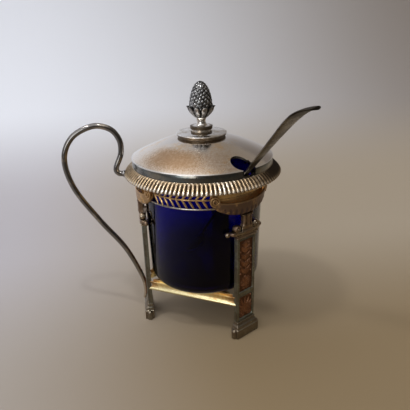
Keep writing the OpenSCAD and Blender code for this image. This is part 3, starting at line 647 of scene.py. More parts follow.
# Laurel leaves: the pierced herringbone of the frieze, gilt like the band. Pairs of leaves spring from
# the middle rib and run up to the rail and down to the wire, nine pairs between two bowls.
def copy_tree(name, inputs):
    """A tree for copies, from its inputs as label, kind and value.

    Gives the tree, its input sockets by label, the values by socket identifier, and its arithmetic.
    """
    tree = bpy.data.node_groups.new(name, "GeometryNodeTree")
    tree.interface.new_socket("Geometry", in_out="OUTPUT", socket_type="NodeSocketGeometry")
    values = {}
    for label, kind, value in inputs:
        socket = tree.interface.new_socket(label, in_out="INPUT", socket_type="NodeSocket" + kind)
        values[socket.identifier] = value

    def figure(operation, a, b=None):
        """One step of arithmetic, on sockets or plain numbers."""
        node = tree.nodes.new("ShaderNodeMath")
        node.operation = operation
        for socket, value in zip(node.inputs, (a, b)):
            if isinstance(value, bpy.types.NodeSocket):
                tree.links.new(value, socket)
            elif value is not None:
                socket.default_value = value
        return node.outputs[0]

    return tree, tree.nodes.new("NodeGroupInput").outputs, values, figure


def to_vector(tree, **parts):
    """Vector from sockets for its X, Y and Z."""
    node = tree.nodes.new("ShaderNodeCombineXYZ")
    for label, socket in parts.items():
        tree.links.new(socket, node.inputs[label])
    return node.outputs[0]


def grown(name, tree, given, values, model, points, turn, size=None):
    """Sets copies of the model on a tree's points, and gives the result as a plain mesh object."""
    to_rotation = tree.nodes.new("FunctionNodeEulerToRotation")
    tree.links.new(turn, to_rotation.inputs[0])
    source = tree.nodes.new("GeometryNodeObjectInfo")
    tree.links.new(given["Shape"], source.inputs["Object"])
    place = tree.nodes.new("GeometryNodeInstanceOnPoints")
    tree.links.new(points, place.inputs["Points"])
    tree.links.new(source.outputs["Geometry"], place.inputs["Instance"])
    tree.links.new(to_rotation.outputs[0], place.inputs["Rotation"])
    if size is not None:
        tree.links.new(size, place.inputs["Scale"])
    real = tree.nodes.new("GeometryNodeRealizeInstances")
    weld = tree.nodes.new("GeometryNodeMergeByDistance")
    weld.inputs["Distance"].default_value = weld_reach
    paint = tree.nodes.new("GeometryNodeSetMaterial")
    tree.links.new(given["Finish"], paint.inputs["Material"])
    geometry = place.outputs["Instances"]
    for node in (real, weld, paint):
        tree.links.new(geometry, node.inputs[0])
        geometry = node.outputs[0]
    tree.links.new(geometry, tree.nodes.new("NodeGroupOutput").inputs[0])
    made = bpy.data.objects.new(name, bpy.data.meshes.new(name))
    bpy.context.scene.collection.objects.link(made)
    modifier = made.modifiers.new("copies", "NODES")
    modifier.node_group = tree
    for identifier, value in values.items():
        modifier[identifier] = value
    graph = bpy.context.evaluated_depsgraph_get()
    mesh = bpy.data.meshes.new_from_object(made.evaluated_get(graph))
    made.modifiers.clear()
    made.data = mesh
    bpy.data.objects.remove(model)
    return made


def copies_round_axis(name, shape, finish, count, run, step, jump, start, marks):
    """Copies of a shape turned about the pot's axis: runs a step apart, and a jump from run to run."""
    model = make_piece(name + "_one", shape, finish, 50, marks)
    tree, given, values, figure = copy_tree(name, (
        ("Shape", "Object", model), ("Finish", "Material", finish), ("Count", "Int", count),
        ("Run", "Int", run), ("Step", "Float", radians(step)), ("Jump", "Float", radians(jump)),
        ("Start", "Float", radians(start)),
    ))
    row = tree.nodes.new("GeometryNodeMeshLine")
    row.inputs["Offset"].default_value = (0, 0, 0)
    tree.links.new(given["Count"], row.inputs["Count"])
    index = tree.nodes.new("GeometryNodeInputIndex").outputs[0]
    nth_run = figure("FLOOR", figure("DIVIDE", index, given["Run"]))
    in_run = figure("MODULO", index, given["Run"])
    steps, jumps = figure("MULTIPLY", in_run, given["Step"]), figure("MULTIPLY", nth_run, given["Jump"])
    angle = figure("ADD", figure("ADD", steps, jumps), given["Start"])
    return grown(name, tree, given, values, model, row.outputs["Mesh"], to_vector(tree, Z=angle))


chevron_step, chevron_run = 5.78, 9
# Place across a leaf from -1 to 1, and thickness there: the front, and then the back
leaf_section = [(-1, 0.0), (-0.55, 0.3), (0, 0.42), (0.55, 0.3), (1, 0.0)]
leaf_section += [(0.55, -0.25), (0, -0.3), (-0.55, -0.25)]


def laurel_leaf(rise, length):
    """One leaf on the band: a lens that leans along the band, thicker on its spine, rise up or down."""
    rings, grooves = [], []
    for t in np.linspace(0, 1, 11):
        along, up = 0.35 + 2.75 * t**0.9, rib_middle + rise * (0.15 + (length - 0.15) * t)
        half = 0.12 + 0.5 * sin(pi * min(1, 0.12 + 0.8 * t)) ** 0.8
        ring = []
        for q, thick in leaf_section:
            s, z = along + half * q * 0.85, up - rise * half * q * 0.62
            r, a = band_out - 0.4 + thick, s / band_out
            ring.append((r * cos(a), r * sin(a), z))
            grooves.append(0.8 if abs(q) == 1 else 0.0)
        rings.append(np.array(ring))
    return skin(rings), grooves


upper, upper_groove = laurel_leaf(1, 3.5)
lower, lower_groove = laurel_leaf(-1, 4.5)
laurel_groove = upper_groove + lower_groove
laurel_marks = {"tarnish_and_shade": laurel_groove, "wear_and_light": [0.5 * (g == 0) for g in laurel_groove]}
leaves = copies_round_axis(
    "laurel_leaves", joined(upper, lower), gilt_silver, len(LEGS) * chevron_run, chevron_run, chevron_step,
    120, 240 - chevron_run / 2 * chevron_step, laurel_marks)
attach(leaves, "frame")


# Frieze wire: a plain silver wire, drawn and bent into a ring. It is soldered along the gallery's
# lower edge and is rubbed bright.
wire_middle, wire_radius = (33.5, 78.5), 0.52
wire_silver = old_silver(
    "wire_silver", (0.72, 0.69, 0.64), (0.24, 0.21, 0.18), (0.12, 0.09, 0.07), patch=14, cover=0.6,
    polish=0.12, dull=0.3, dent=0.15)
wire_ring = arc(wire_middle, wire_radius, 0, 2 * pi, 13)[:-1]
wire = make_piece("gallery_wire", lathe(wire_ring, 240), wire_silver, 60)
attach(wire, "frame")
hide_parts("frieze_wire")


# Gadroon ring: the rim of the frame, cast in silver with a row of lobes. It has a flat seat for the
# lid, and its lip grips the frieze. Its right side is painted darker, as painted shade, it is a
# little darker at the handle, and its seat is painted lighter, as painted light.
def azimuths(points):
    """Direction of each point from the pot's axis, in degrees."""
    return np.degrees(np.arctan2(points[:, 1], points[:, 0])) % 360


gadroons, lobe_sink, lobe_round = 120, 0.95, 0.96
ring_top, rubbed_top, rubbed_low = 93.6, 91.0, 89.4
skirt_top, skirt_foot, nose_middle, nose_radius = (38.0, 93.55), (42.27, 89.77), (41.7, 89.2), 0.8
# Distance from the axis, height and share of the lobes' depth, round the rim's section
rim_rows = [(35.05, 89.2, 0.0), (35.05, 93.3, 0.0), (35.3, ring_top, 0.0), (37.85, ring_top, 0.0)]
seat_rows = len(rim_rows)
for t in np.linspace(0, 1, 8):
    swell = 0.12 * sin(pi * t)
    rim_rows.append((
        skirt_top[0] + (skirt_foot[0] - skirt_top[0]) * t + swell * 0.72,
        skirt_top[1] + (skirt_foot[1] - skirt_top[1]) * t + swell * 0.69, float(step_up(t, -0.1, 0.25))))
rim_rows += [(r, z, 1.0) for r, z in arc(nose_middle, nose_radius, 0.5, -pi / 2, 8)]
rim_rows += [(40.4, 87.95, 0.8), (38.8, 87.4, 0.3), (37.05, 86.8, 0.0), (34.1, 86.25, 0.0), (34.1, 88.2, 0.0)]
sector_rings, sector_groove, sector_wear_and_light = [], [], []
for q in np.linspace(-1, 1, 9):
    sunk = lobe_sink * (1 - sqrt(1 - lobe_round * q * q)) / (1 - sqrt(1 - lobe_round))
    a = radians(180 / gadroons * q)
    outline = []
    for k, (r, z, lobed) in enumerate(rim_rows):
        before, after = rim_rows[k - 1], rim_rows[(k + 1) % len(rim_rows)]
        way = np.array((after[0] - before[0], after[1] - before[1]))
        way *= sunk * lobed / np.linalg.norm(way)
        outline.append(((r + way[1]) * cos(a), (r + way[1]) * sin(a), z - way[0]))
        rub_and_light = (1 - abs(q)) ** 0.5 * (1 - float(step_up(z, rubbed_low, rubbed_top))) * lobed
        sector_groove.append(lobed * abs(q) ** 1.5 if k >= seat_rows else 0.15)
        # The lobes' lower noses are rubbed clean; the seat rows get painted light, marked worn so the shaded
        # seat shows clean metal.
        sector_wear_and_light.append(rub_and_light if k >= seat_rows else 0.8)
    sector_rings.append(np.array(outline))
tan_silver = old_silver(
    "tan_silver", (0.82, 0.75, 0.64), (0.39, 0.28, 0.165), (0.03, 0.02, 0.012), patch=7, cover=0.85,
    polish=0.15, dull=0.32, wear=1.0, dent=0.15)
ring = copies_round_axis(
    "rim_ring", skin(sector_rings, ends=False), tan_silver, gadroons, gadroons, 360 / gadroons, 0, 0,
    {"tarnish_and_shade": sector_groove, "wear_and_light": sector_wear_and_light})
ring_way = azimuths(np.array([v.co for v in ring.data.vertices]))
ring_tarnish_and_shade = np.zeros(len(ring_way), np.float32)
ring.data.attributes["tarnish_and_shade"].data.foreach_get("value", ring_tarnish_and_shade)
# Painted shade on the ring's right side, and a little darker at the handle.
right_side_shade = 0.75 * np.exp(-(((ring_way - 338) / 28) ** 4))
dark_left = 0.1 * np.exp(-(((ring_way - 180) / 20) ** 4))
ring_tarnish_and_shade += (right_side_shade + dark_left).astype(np.float32)
ring.data.attributes["tarnish_and_shade"].data.foreach_set("value", ring_tarnish_and_shade)
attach(ring, "frame")
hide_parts("gadroon_ring")


# Stretchers: three straight gilt strips with a bead along the lower edge and a ledge behind the top.
# Their ends are soldered to the sides of the legs, and the glass stands on the ledges.
strip_in, strip_out, strip_low, strip_top = 21.09, 22.29, 20.0, 24.8
ledge_in, ledge_out, ledge_low, ledge_top = 18.89, 21.29, 23.6, 26.0
bead_x, bead_radius, bead_top = 21.75, 0.85, strip_low + 0.8
hollow_top, hollow_height, hollow_depth = strip_top - 0.4, strip_top - strip_low - 1.1, 0.6
strip_profile = [(strip_out - 0.1, strip_top), (strip_out, strip_top - 0.12), (strip_out, hollow_top)]
for t in np.linspace(0.06, 1, 11):
    strip_profile.append((strip_out - hollow_depth * sin(pi * t) ** 0.8, hollow_top - hollow_height * t))
strip_profile += arc((bead_x, strip_low), bead_radius, 0.7, -pi - 0.7, 15)
strip_profile += [(strip_in, strip_low + 0.7), (strip_in, ledge_low), (ledge_in, ledge_low)]
strip_profile += [(ledge_in, ledge_top - 0.1), (ledge_in + 0.1, ledge_top), (ledge_out - 0.1, ledge_top)]
strip_profile += [(ledge_out, ledge_top - 0.1), (ledge_out, strip_top)]
# Painted shade: the ledge under the glass is painted dark, and the hollow, a little darker all along, gets
# more painted shade towards the legs.
ledge_shade, bead_worn = 0.75, 0.9
strip_rings, strip_shade, strip_worn = [], [], []
for share in np.linspace(-1, 1, 41):
    sway = (0.03 * sin(9 * share) + 0.015 * sin(23 * share + 1)) * (1 - share**8)
    hollow_shade = 0.25 + 0.5 * float(step_up(abs(share), 0.75, 1.0))
    outline = []
    for x, z in strip_profile:
        outline.append((x + sway * (z > strip_low + 1), share * (sqrt(3) * x - 2 * leg_half), z))
        strip_shade.append(ledge_shade if z > strip_top else hollow_shade * (z > bead_top))
        strip_worn.append(bead_worn * (z < bead_top))
    strip_rings.append(np.array(outline))
strip_marks = {"tarnish_and_shade": strip_shade, "wear_and_light": strip_worn}
strip_gilt = old_silver(
    "strip_gilt", (1.0, 0.89, 0.51), (1.0, 0.7, 0.29), (0.42, 0.24, 0.1), patch=8, cover=0.3, polish=0.22,
    dull=0.34, dent=0.08)
strip_shape = skin(strip_rings)
for i in LEGS:
    strip = make_piece(f"strip_{i}", swung(strip_shape, leg_azimuth(i) + 60), strip_gilt, 35, strip_marks)
    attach(strip, "frame")
    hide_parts(f"stretcher_{i}")


# Handle: one silver wire, thinner towards its lower end. It leaves the ring, rises into a tall loop
# and comes down along the first leg, where its end is soldered.
def smooth_line(knots, count):
    """Smooth curve through knots, as count points."""
    knots = np.asarray(knots, float)
    padded = np.vstack([2 * knots[0] - knots[1], knots, 2 * knots[-1] - knots[-2]])
    line = []
    for t in np.linspace(0, len(knots) - 1, count):
        i = min(int(t), len(knots) - 2)
        u, (a, b, c, d) = t - i, padded[i:i + 4]
        second, third = 2 * a - 5 * b + 4 * c - d, 3 * b - a - 3 * c + d
        line.append(0.5 * (2 * b + (c - a) * u + second * u**2 + third * u**3))
    return np.array(line)


handle_knots = (
    (42.0, 89.1), (45.4, 89.8), (46.2, 92.8), (43.1, 100.5), (43.4, 107.9), (47.9, 113.7), (56.6, 115.3),
    (67.2, 109.9), (72.2, 98.5), (69, 82.3), (57.8, 62.9), (45.79, 45.1), (37.99, 26.5), (36.26, 16.9),
    (37.24, 9.8),
)
handle_points, handle_sides = 260, 24
handle_thick, handle_thinner, root_flare = 1.5, 0.6, 0.75
handle_line = smooth_line(handle_knots, handle_points)
shares = np.linspace(0, 1, handle_points)
handle_radius = handle_thick - handle_thinner * np.clip(4 * shares - 3, 0, 1) ** 1.5
handle_radius += root_flare * np.exp(-shares * 90)
handle_radius[-4:] *= (0.97, 0.88, 0.7, 0.35)
steel_silver = old_silver(
    "steel_silver", (0.68, 0.6, 0.5), (0.15, 0.15, 0.157), (0.08, 0.08, 0.085), patch=12, fleck=6,
    cover=1.0, polish=0.11, dull=0.15, dent=0.1)
handle_shape = tube([(-r, 0, z) for r, z in handle_line], handle_radius, handle_sides)
handle_worn = np.repeat(step_up(shares, 0.8, 0.95), handle_sides)
handle = make_piece("loop_handle", handle_shape, steel_silver, 60, {"wear_and_light": handle_worn})
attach(handle, "frame")
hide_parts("handle")


# Glass liner: a plain beaker of deep cobalt glass, blown and fire-polished at its rim. It stands on
# the stretchers and lifts out for washing.
def place_parts(tree, place):
    """X, Y and Z of a place, as sockets."""
    split = tree.nodes.new("ShaderNodeSeparateXYZ")
    tree.links.new(place, split.inputs[0])
    return split.outputs


glass_low, glass_top, glass_floor = 26.1, 88.2, 3
heel_radius, lip_radius, inner_radius = 6, 1.1, 4.4
glass_profile = [(0, glass_low + 0.5), (16, glass_low + 0.5), (22, glass_low + 0.1), (24.6, glass_low)]
glass_profile += arc((25.4, glass_low + heel_radius), heel_radius, -1.45, 0, 14)
glass_profile += arc((31.5, glass_top - lip_radius), lip_radius, 0, pi, 11)
glass_profile += arc((24.8, glass_low + glass_floor + inner_radius), inner_radius, 0, -1.5, 12)
glass_profile += [(20, glass_low + glass_floor), (0, glass_low + glass_floor)]
cobalt, tree, shader = new_finish("cobalt_glass")
shader.inputs["Transmission Weight"].default_value = 1
shader.inputs["IOR"].default_value = 1.52
shader.inputs["Specular Tint"].default_value = (0.25, 0.25, 0.35, 1)
place = tree.nodes.new("ShaderNodeTexCoord").outputs["Object"]
streak = finish_node(tree, "ShaderNodeTexNoise", Scale=45, Detail=3)
tree.links.new(place, streak.inputs["Vector"])
# Painted shade: the glass's colour is painted darker towards its lower part, where the shaded table under the
# pot shows through.
depth = spread(tree, place_parts(tree, place)["Z"], 0.03, 0.056)
shaded_cobalt = blend_colour(tree, streak.outputs["Fac"], (0.002, 0.0015, 0.03), (0.004, 0.003, 0.06))
pale = blend_colour(tree, streak.outputs["Fac"], (0.014, 0.008, 0.42), (0.024, 0.014, 0.58))
tree.links.new(blend_colour(tree, depth, shaded_cobalt, pale), shader.inputs["Base Color"])
smear = finish_node(tree, "ShaderNodeTexNoise", Scale=160, Detail=4)
tree.links.new(place, smear.inputs["Vector"])
tree.links.new(spread(tree, smear.outputs["Fac"], 0.35, 0.75, 0.01, 0.06), shader.inputs["Roughness"])
ripple = finish_node(tree, "ShaderNodeBump", Strength=0.08, Distance=0.001)
tree.links.new(streak.outputs["Fac"], ripple.inputs["Height"])
tree.links.new(ripple.outputs["Normal"], shader.inputs["Normal"])
glass = make_piece("glass_beaker", lathe(glass_profile, 160, loop=False), cobalt, 60)
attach(glass, "liner")
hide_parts("glass_liner")


# Lid dome: a low cover, raised from silver sheet and polished, with a keyhole at its edge for the
# spoon. Its front has a patch of brown tarnish.
lid_edge, plate_edge, dome_low, dome_rise = 38.0, 13.2, 97.3, 9.8
spoon_azimuth = 300


def dome_height(r):
    """Height of the dome's outside at a distance from the axis."""
    return dome_low + dome_rise * (1 - (max(0.0, r - plate_edge) / (lid_edge - plate_edge)) ** 1.3)


cut_silver = old_silver(
    "cut_silver", (0.2, 0.18, 0.16), (0.12, 0.1, 0.08), (0.05, 0.04, 0.03), patch=3, polish=0.25, dull=0.4,
    dent=0.2)
hole_radius, hole_out, hole_turn = 4.9, 32.9, -4.4
notch_in, notch_out, notch_half, notch_shift = 32.2, 60, 4.1, 0.8


def keyhole(low, top):
    """Solids that cut the keyhole: a round hole, and a notch out through the lid's edge."""
    hole = lathe([(0, low), (hole_radius, low), (hole_radius, top), (0, top)], 64, loop=False)
    hole = swung(moved(hole, (hole_out, 0, 0)), spoon_azimuth + hole_turn)
    notch = skin([block_outline(notch_in, notch_out, notch_half, 0.05, z, 1) for z in (low, top)])
    notch = swung(moved(notch, (0, -notch_shift, 0)), spoon_azimuth)
    return make_piece("keyhole", hole, cut_silver), make_piece("notch", notch, cut_silver)


def cut_out(solid, *cutters):
    """Takes the cutters out of a piece and removes them."""
    for cutter in cutters:
        modifier = solid.modifiers.new("cut", "BOOLEAN")
        modifier.object = cutter
        modifier.solver, modifier.material_mode = "EXACT", "TRANSFER"
    graph = bpy.context.evaluated_depsgraph_get()
    mesh = bpy.data.meshes.new_from_object(solid.evaluated_get(graph))
    solid.modifiers.clear()
    solid.data = mesh
    mesh.set_sharp_from_angle(angle=radians(35))
    for cutter in cutters:
        bpy.data.objects.remove(cutter)


dome_wall, stud_hole = 1, 1.4
dome_radii = list(np.linspace(lid_edge - 0.15, plate_edge, 34)) + [8.0, stud_hole]
dome_profile = [(lid_edge - 0.25, dome_low - 0.05), (lid_edge, dome_low), (lid_edge - 0.02, dome_low + 0.1)]
dome_profile += [(r, dome_height(r)) for r in dome_radii]
for r in dome_radii[::-1]:
    dome_profile.append((max(r - 0.4, stud_hole), max(dome_height(r) - dome_wall, dome_low)))
lid_silver = old_silver(
    "lid_silver", (0.82, 0.78, 0.735), (0.85, 0.61, 0.35), (0.47, 0.295, 0.165), patch=22, fleck=1.1,
    cover=0.12, polish=0.13, dull=0.2, dent=0.06)
dome_shape = lathe(dome_profile, 288)
dome_way = azimuths(dome_shape[0])
dome_out = np.hypot(dome_shape[0][:, 0], dome_shape[0][:, 1])
tarnish = np.zeros(len(dome_out))
# Strength, direction and spread round the lid, distance from the axis and spread outwards
for strength, way, round_spread, out, out_spread in ((0.44, 246, 62, 31, 10), (0.3, 230, 30, 27.5, 7.5)):
    fall = ((dome_way - way) / round_spread) ** 4 + ((dome_out - out) / out_spread) ** 4
    tarnish += strength * np.exp(-fall)
edge_worn = step_up(dome_out, lid_edge - 0.9, lid_edge - 0.3)
dome_marks = {"tarnish_and_shade": tarnish * (1 - edge_worn), "wear_and_light": edge_worn}
dome = make_piece("lid_cover", dome_shape, lid_silver, 35, dome_marks)
cut_out(dome, *keyhole(dome_low - 2, dome_low + 14))
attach(dome, "lid")
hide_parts("lid_dome")


# Lid band: the upright edge of the lid, silver strip bent and soldered under the dome, with a flange
# that sits on the ring. It is notched for the spoon.
flange_low, flange_top, flange_in, band_in_lid, lid_band_top = 93.7, 94.7, 33.9, 36.9, 97.25
band_profile = [(flange_in, flange_low), (37.6, flange_low), (37.8, 93.85), (37.82, 95.5), (37.78, 97.1)]
band_profile += [(37.7, lid_band_top), (band_in_lid, lid_band_top), (band_in_lid, flange_top)]
band_profile.append((flange_in, flange_top))
edge_silver = old_silver(
    "edge_silver", (0.27, 0.25, 0.21), (0.14, 0.165, 0.165), (0.07, 0.06, 0.045), patch=9, cover=0.5,
    polish=0.13, dull=0.26, dent=0.08)
lid_band = make_piece("lid_edge", lathe(band_profile, 288), edge_silver)
cut_out(lid_band, *keyhole(92, 99))
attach(lid_band, "lid")
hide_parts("lid_band")


# Lid collar, stud and nut: silver parts that are out of sight under the lid, as the frame has them.
# The collar centres the lid in the ring, and the stud and nut hold the knob.
bright_silver = old_silver(
    "bright_silver", (0.88, 0.85, 0.8), (0.5, 0.44, 0.36), (0.15, 0.11, 0.08), patch=9, polish=0.13,
    dull=0.3, dent=0.15)
for hidden_part in ("lid_bezel", "finial_stud", "finial_nut"):
    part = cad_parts[hidden_part]
    part.data.materials.clear()
    part.data.materials.append(bright_silver)


# Knob plate and collar: turned silver. The plate is a thick disc with an undercut edge and a slightly
# domed top, and the collar on it is a low drum with a waisted neck.
knob_silver = old_silver(
    "knob_silver", (0.88, 0.86, 0.83), (0.5, 0.42, 0.32), (0.12, 0.09, 0.06), patch=6, cover=0.35,
    polish=0.12, dull=0.28, dent=0.08)
plate_profile = [
    (stud_hole, 107.1), (12.2, 107.1), (12.6, 107.2), (13.05, 108.1), (13.35, 108.85), (13.45, 109.0),
    (13.35, 109.25), (13.0, 109.45), (9.5, 109.85), (6.2, 110.4), (stud_hole, 110.5)]
plate_turns, collar_turns = 128, 96
plate_groove = [0.8 * (r < 13.4 and z < 109) for r, z in plate_profile] * plate_turns
plate = make_piece("knob_plate", lathe(plate_profile, plate_turns), knob_silver, 28, {"tarnish_and_shade": plate_groove})
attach(plate, "lid")
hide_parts("finial_disc")
collar_profile = [
    (stud_hole, 110.4), (5.2, 110.4), (5.25, 111.0), (5.7, 111.15), (5.85, 111.3), (5.95, 112.2),
    (6.0, 112.5), (5.95, 112.7), (5.7, 112.8), (4.1, 112.95)]
collar_profile += arc((4.0, 115.1), -1.7, -1.1, 0.75, 12, 2.3)
collar_profile += [(2.95, 116.9), (3.1, 117.15), (3.0, 117.4), (0, 117.4), (0, 113.6), (stud_hole, 113.6)]
# The drum's side is painted dark, and the rest of the collar a little.
collar_dark_side = [1.0 if r > 5.6 else 0.12 for r, _ in collar_profile] * collar_turns
collar_shape = lathe(collar_profile, collar_turns)
collar = make_piece("knob_collar", collar_shape, knob_silver, 32, {"tarnish_and_shade": collar_dark_side})
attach(collar, "lid")
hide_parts("finial_collar")


# Leaf cup: ten leaves cast in silver round a core, their tips flicked out under the pine cone. Dark
# oxide stays in the veins.
dark_silver = old_silver(
    "dark_silver", (0.52, 0.51, 0.5), (0.22, 0.21, 0.205), (0.012, 0.011, 0.01), patch=3, cover=0.5,
    polish=0.2, dull=0.36, dent=0.2)
cup_low, cup_top, core_top, cup_count, leaf_span = 117.2, 123.3, 122.5, 10, 19.5


def cup_reach(t):
    """Radius of the leaf cup at t from 0 at the neck to 1 at the tips."""
    return 3.1 + 3.6 * sin(min(t, 0.86) / 0.86 * pi / 2) ** 0.95 + 0.75 * step_up(t, 0.78, 1.0)


cup_core = [(0, cup_low)]
cup_core += [(cup_reach(t) * 0.9, cup_low + 5.9 * t) for t in np.linspace(0, 0.8, 9)]
cup_core += [(5.5, core_top), (0, core_top)]
core = make_piece("cup_core", lathe(cup_core, 60, loop=False), dark_silver)
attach(core, "lid")
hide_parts("finial_calyx")
leaf_points, leaf_thick = 9, 0.75
cup_rings, cup_groove = [], []
for t in np.linspace(0, 1, 15):
    half = 0.95 if t < 0.62 else sqrt(1 - ((t - 0.62) / 0.38) ** 1.7) * 0.93 + 0.02
    z = cup_low + (cup_top - cup_low) * t - 0.25 * step_up(t, 0.9, 1.0)
    front, back = [], []
    for q in np.linspace(-1, 1, leaf_points):
        a = radians(leaf_span * half * q)
        vein = abs(sin(2.5 * pi * q))
        r = cup_reach(t) - 0.35 * q * q + 0.28 * (1 - abs(q)) + 0.12 * vein
        front.append((r * cos(a), r * sin(a), z))
        back.append(((r - leaf_thick) * cos(a), (r - leaf_thick) * sin(a), z + 0.1 * t))
        cup_groove.append(abs(q) ** 2 * 0.8 + 0.3 * (1 - vein))
    cup_groove += [0.8] * leaf_points
    cup_rings.append(np.array(front + back[::-1]))
cup_marks = {"tarnish_and_shade": cup_groove, "wear_and_light": [0.5 * max(0, 0.5 - g) for g in cup_groove]}
cup_leaves = copies_round_axis(
    "cup_leaves", skin(cup_rings), dark_silver, cup_count, cup_count, 360 / cup_count, 0, 242, cup_marks)
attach(cup_leaves, "lid")


# Pine cone: the top of the knob, cast in silver. Small pointed scales stand in spirals on an
# egg-shaped body, bright on their tips and dark between.
cone_low, cone_rise, cone_reach, cone_taper = 122.3, 13.0, 5.8, 0.02
cone_scales, spiral_step = 138, 137.508
cone_silver = old_silver(
    "cone_silver", (0.47, 0.465, 0.46), (0.09, 0.088, 0.086), (0.005, 0.005, 0.005), patch=3, polish=0.14,
    dull=0.34, dent=0.2)
cone_body = [(0, cone_low - 0.4)]
for t in np.linspace(0, 1, 20):
    cone_body.append((cone_reach * sqrt(1 - t * t) * (1 - cone_taper * t), cone_low + cone_rise * t))
cone_core = make_piece("pine_cone_body", lathe(cone_body, 48, loop=False), cone_silver, 60)
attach(cone_core, "lid")
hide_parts("finial_cone")
rows, cols = 7, 6
scale_points, scale_groove, scale_worn = [], [], []
for v in np.linspace(-1, 1, rows):
    half = 1.08 * (1 - abs(v) ** 1.5) + 0.06
    for q in np.linspace(-1, 1, cols):
        swell = (1 - abs(v) ** 1.7) * (1 - abs(q) ** 1.8)
        scale_points.append((-0.25 + 0.75 * swell + 0.25 * swell * v, half * q, 1.25 * v + 0.2 * swell))
        scale_groove.append(1 - swell**1.3)
        scale_worn.append(max(0.0, swell - 0.55) * 2)
border = list(range(cols)) + [r * cols + cols - 1 for r in range(1, rows)]
border += [(rows - 1) * cols + c for c in range(cols - 2, -1, -1)]
border += [r * cols for r in range(rows - 2, 0, -1)]
scale_root = len(scale_points)
scale_points.append((-0.6, 0, 0))
scale_faces = grid_faces(rows, cols)
scale_faces += [(start, scale_root, end) for start, end in zip(border, border[1:] + border[:1])]
scale_marks = {"tarnish_and_shade": scale_groove + [1.0], "wear_and_light": scale_worn + [0.0]}
scale_model = make_piece("scale_one", (scale_points, scale_faces), cone_silver, 60, scale_marks)
tree, given, values, figure = copy_tree("scale_spiral", (
    ("Shape", "Object", scale_model), ("Finish", "Material", cone_silver), ("Count", "Int", cone_scales),
    ("Reach", "Float", cone_reach / 1000), ("Height", "Float", cone_rise / 1000),
    ("Foot", "Float", cone_low / 1000), ("Turn", "Float", radians(spiral_step)),
))
index = tree.nodes.new("GeometryNodeInputIndex").outputs[0]
rise = figure("DIVIDE", figure("ADD", index, 0.35), given["Count"])
fullness = figure("SQRT", figure("SUBTRACT", 1.0, figure("MULTIPLY", rise, rise)))
taper = figure("ADD", figure("MULTIPLY", rise, -cone_taper), 1.0)
reach = figure("MULTIPLY", figure("MULTIPLY", fullness, taper), given["Reach"])
around = figure("MULTIPLY", index, given["Turn"])
spot = to_vector(
    tree, X=figure("MULTIPLY", reach, figure("COSINE", around)),
    Y=figure("MULTIPLY", reach, figure("SINE", around)),
    Z=figure("ADD", figure("MULTIPLY", rise, given["Height"]), given["Foot"]))
points = tree.nodes.new("GeometryNodePoints")
tree.links.new(given["Count"], points.inputs["Count"])
tree.links.new(spot, points.inputs["Position"])
turn = to_vector(tree, Y=figure("MULTIPLY", figure("ARCSINE", rise), -0.8), Z=around)
size = figure("ADD", figure("MULTIPLY", fullness, 0.5), 0.5)
scales = grown("pine_cone_scales", tree, given, values, scale_model, points.outputs[0], turn, size)
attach(scales, "lid")


# Spoon: one piece of forged silver, with an egg-shaped bowl in the glass, a slim stem through the
# keyhole and a flat handle end that curves over.
spoon_slope, spoon_down, spoon_up = radians(52.5), 78.78, 55
crossing, run = np.array((33.74, 93.6)), np.array((cos(spoon_slope), sin(spoon_slope)))
spoon_knots = [crossing - down * run for down in (spoon_down, spoon_down - 22, spoon_down / 3, 0)]
for out, up in ((0.335, 0.385), (0.52, 0.58), (0.64, 0.655), (0.735, 0.68)):
    spoon_knots.append(crossing + spoon_up * np.array((out, up)))
spoon_points, spoon_sides, spoon_thick = 211, 28, 0.8
scoop_half, stem_half, neck_half, end_half = 6.5, 1.5, 2.2, 5.7
spoon_line = smooth_line(spoon_knots, spoon_points)
spoon_way = np.gradient(spoon_line, axis=0)
spoon_way /= np.linalg.norm(spoon_way, axis=1)[:, None]


def spoon_half(t):
    """Half width of the spoon at place t along its line."""
    if t < 1:
        return max(0.35, scoop_half * max(0.0, sin(pi * t**0.62)) ** 0.6, stem_half * t)
    if t < 3:
        return stem_half + (neck_half - stem_half) / 2 * (t - 1)
    if t < 5.6:
        return neck_half + (end_half - neck_half) * sin(pi / 2 * (t - 3) / 2.6) ** 1.6
    return end_half * sqrt(max(0.008, 1 - ((t - 5.6) / 1.4) ** 2))


spoon_rings, spoon_end_dark = [], []
for k, (point, way) in enumerate(zip(spoon_line, spoon_way)):
    t = (len(spoon_knots) - 1) * k / (spoon_points - 1)
    half, sag = spoon_half(t), 2.6 * sin(pi * t) if t < 1 else 0.0
    outline = []
    for a in np.linspace(0, 2 * pi, spoon_sides, endpoint=False):
        v = -cos(a)
        lift = spoon_thick * np.sign(sin(a)) * abs(sin(a)) ** 0.7 - sag * (1 - v * v)
        outline.append((point[0] - way[1] * lift, half * v, point[1] + way[0] * lift))
    spoon_rings.append(turned(outline, spoon_azimuth))
    # The handle end is painted darker.
    spoon_end_dark += [0.75 * float(step_up(t, 4.6, 5.6))] * spoon_sides
spoon_silver = old_silver(
    "spoon_silver", (0.24, 0.225, 0.205), (0.09, 0.08, 0.07), (0.045, 0.038, 0.03), patch=10, cover=0.55,
    polish=0.2, dull=0.34, dent=0.12)
spoon = make_piece("table_spoon", skin(spoon_rings), spoon_silver, 50, {"tarnish_and_shade": spoon_end_dark})
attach(spoon, "spoon")
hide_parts("mustard_spoon")


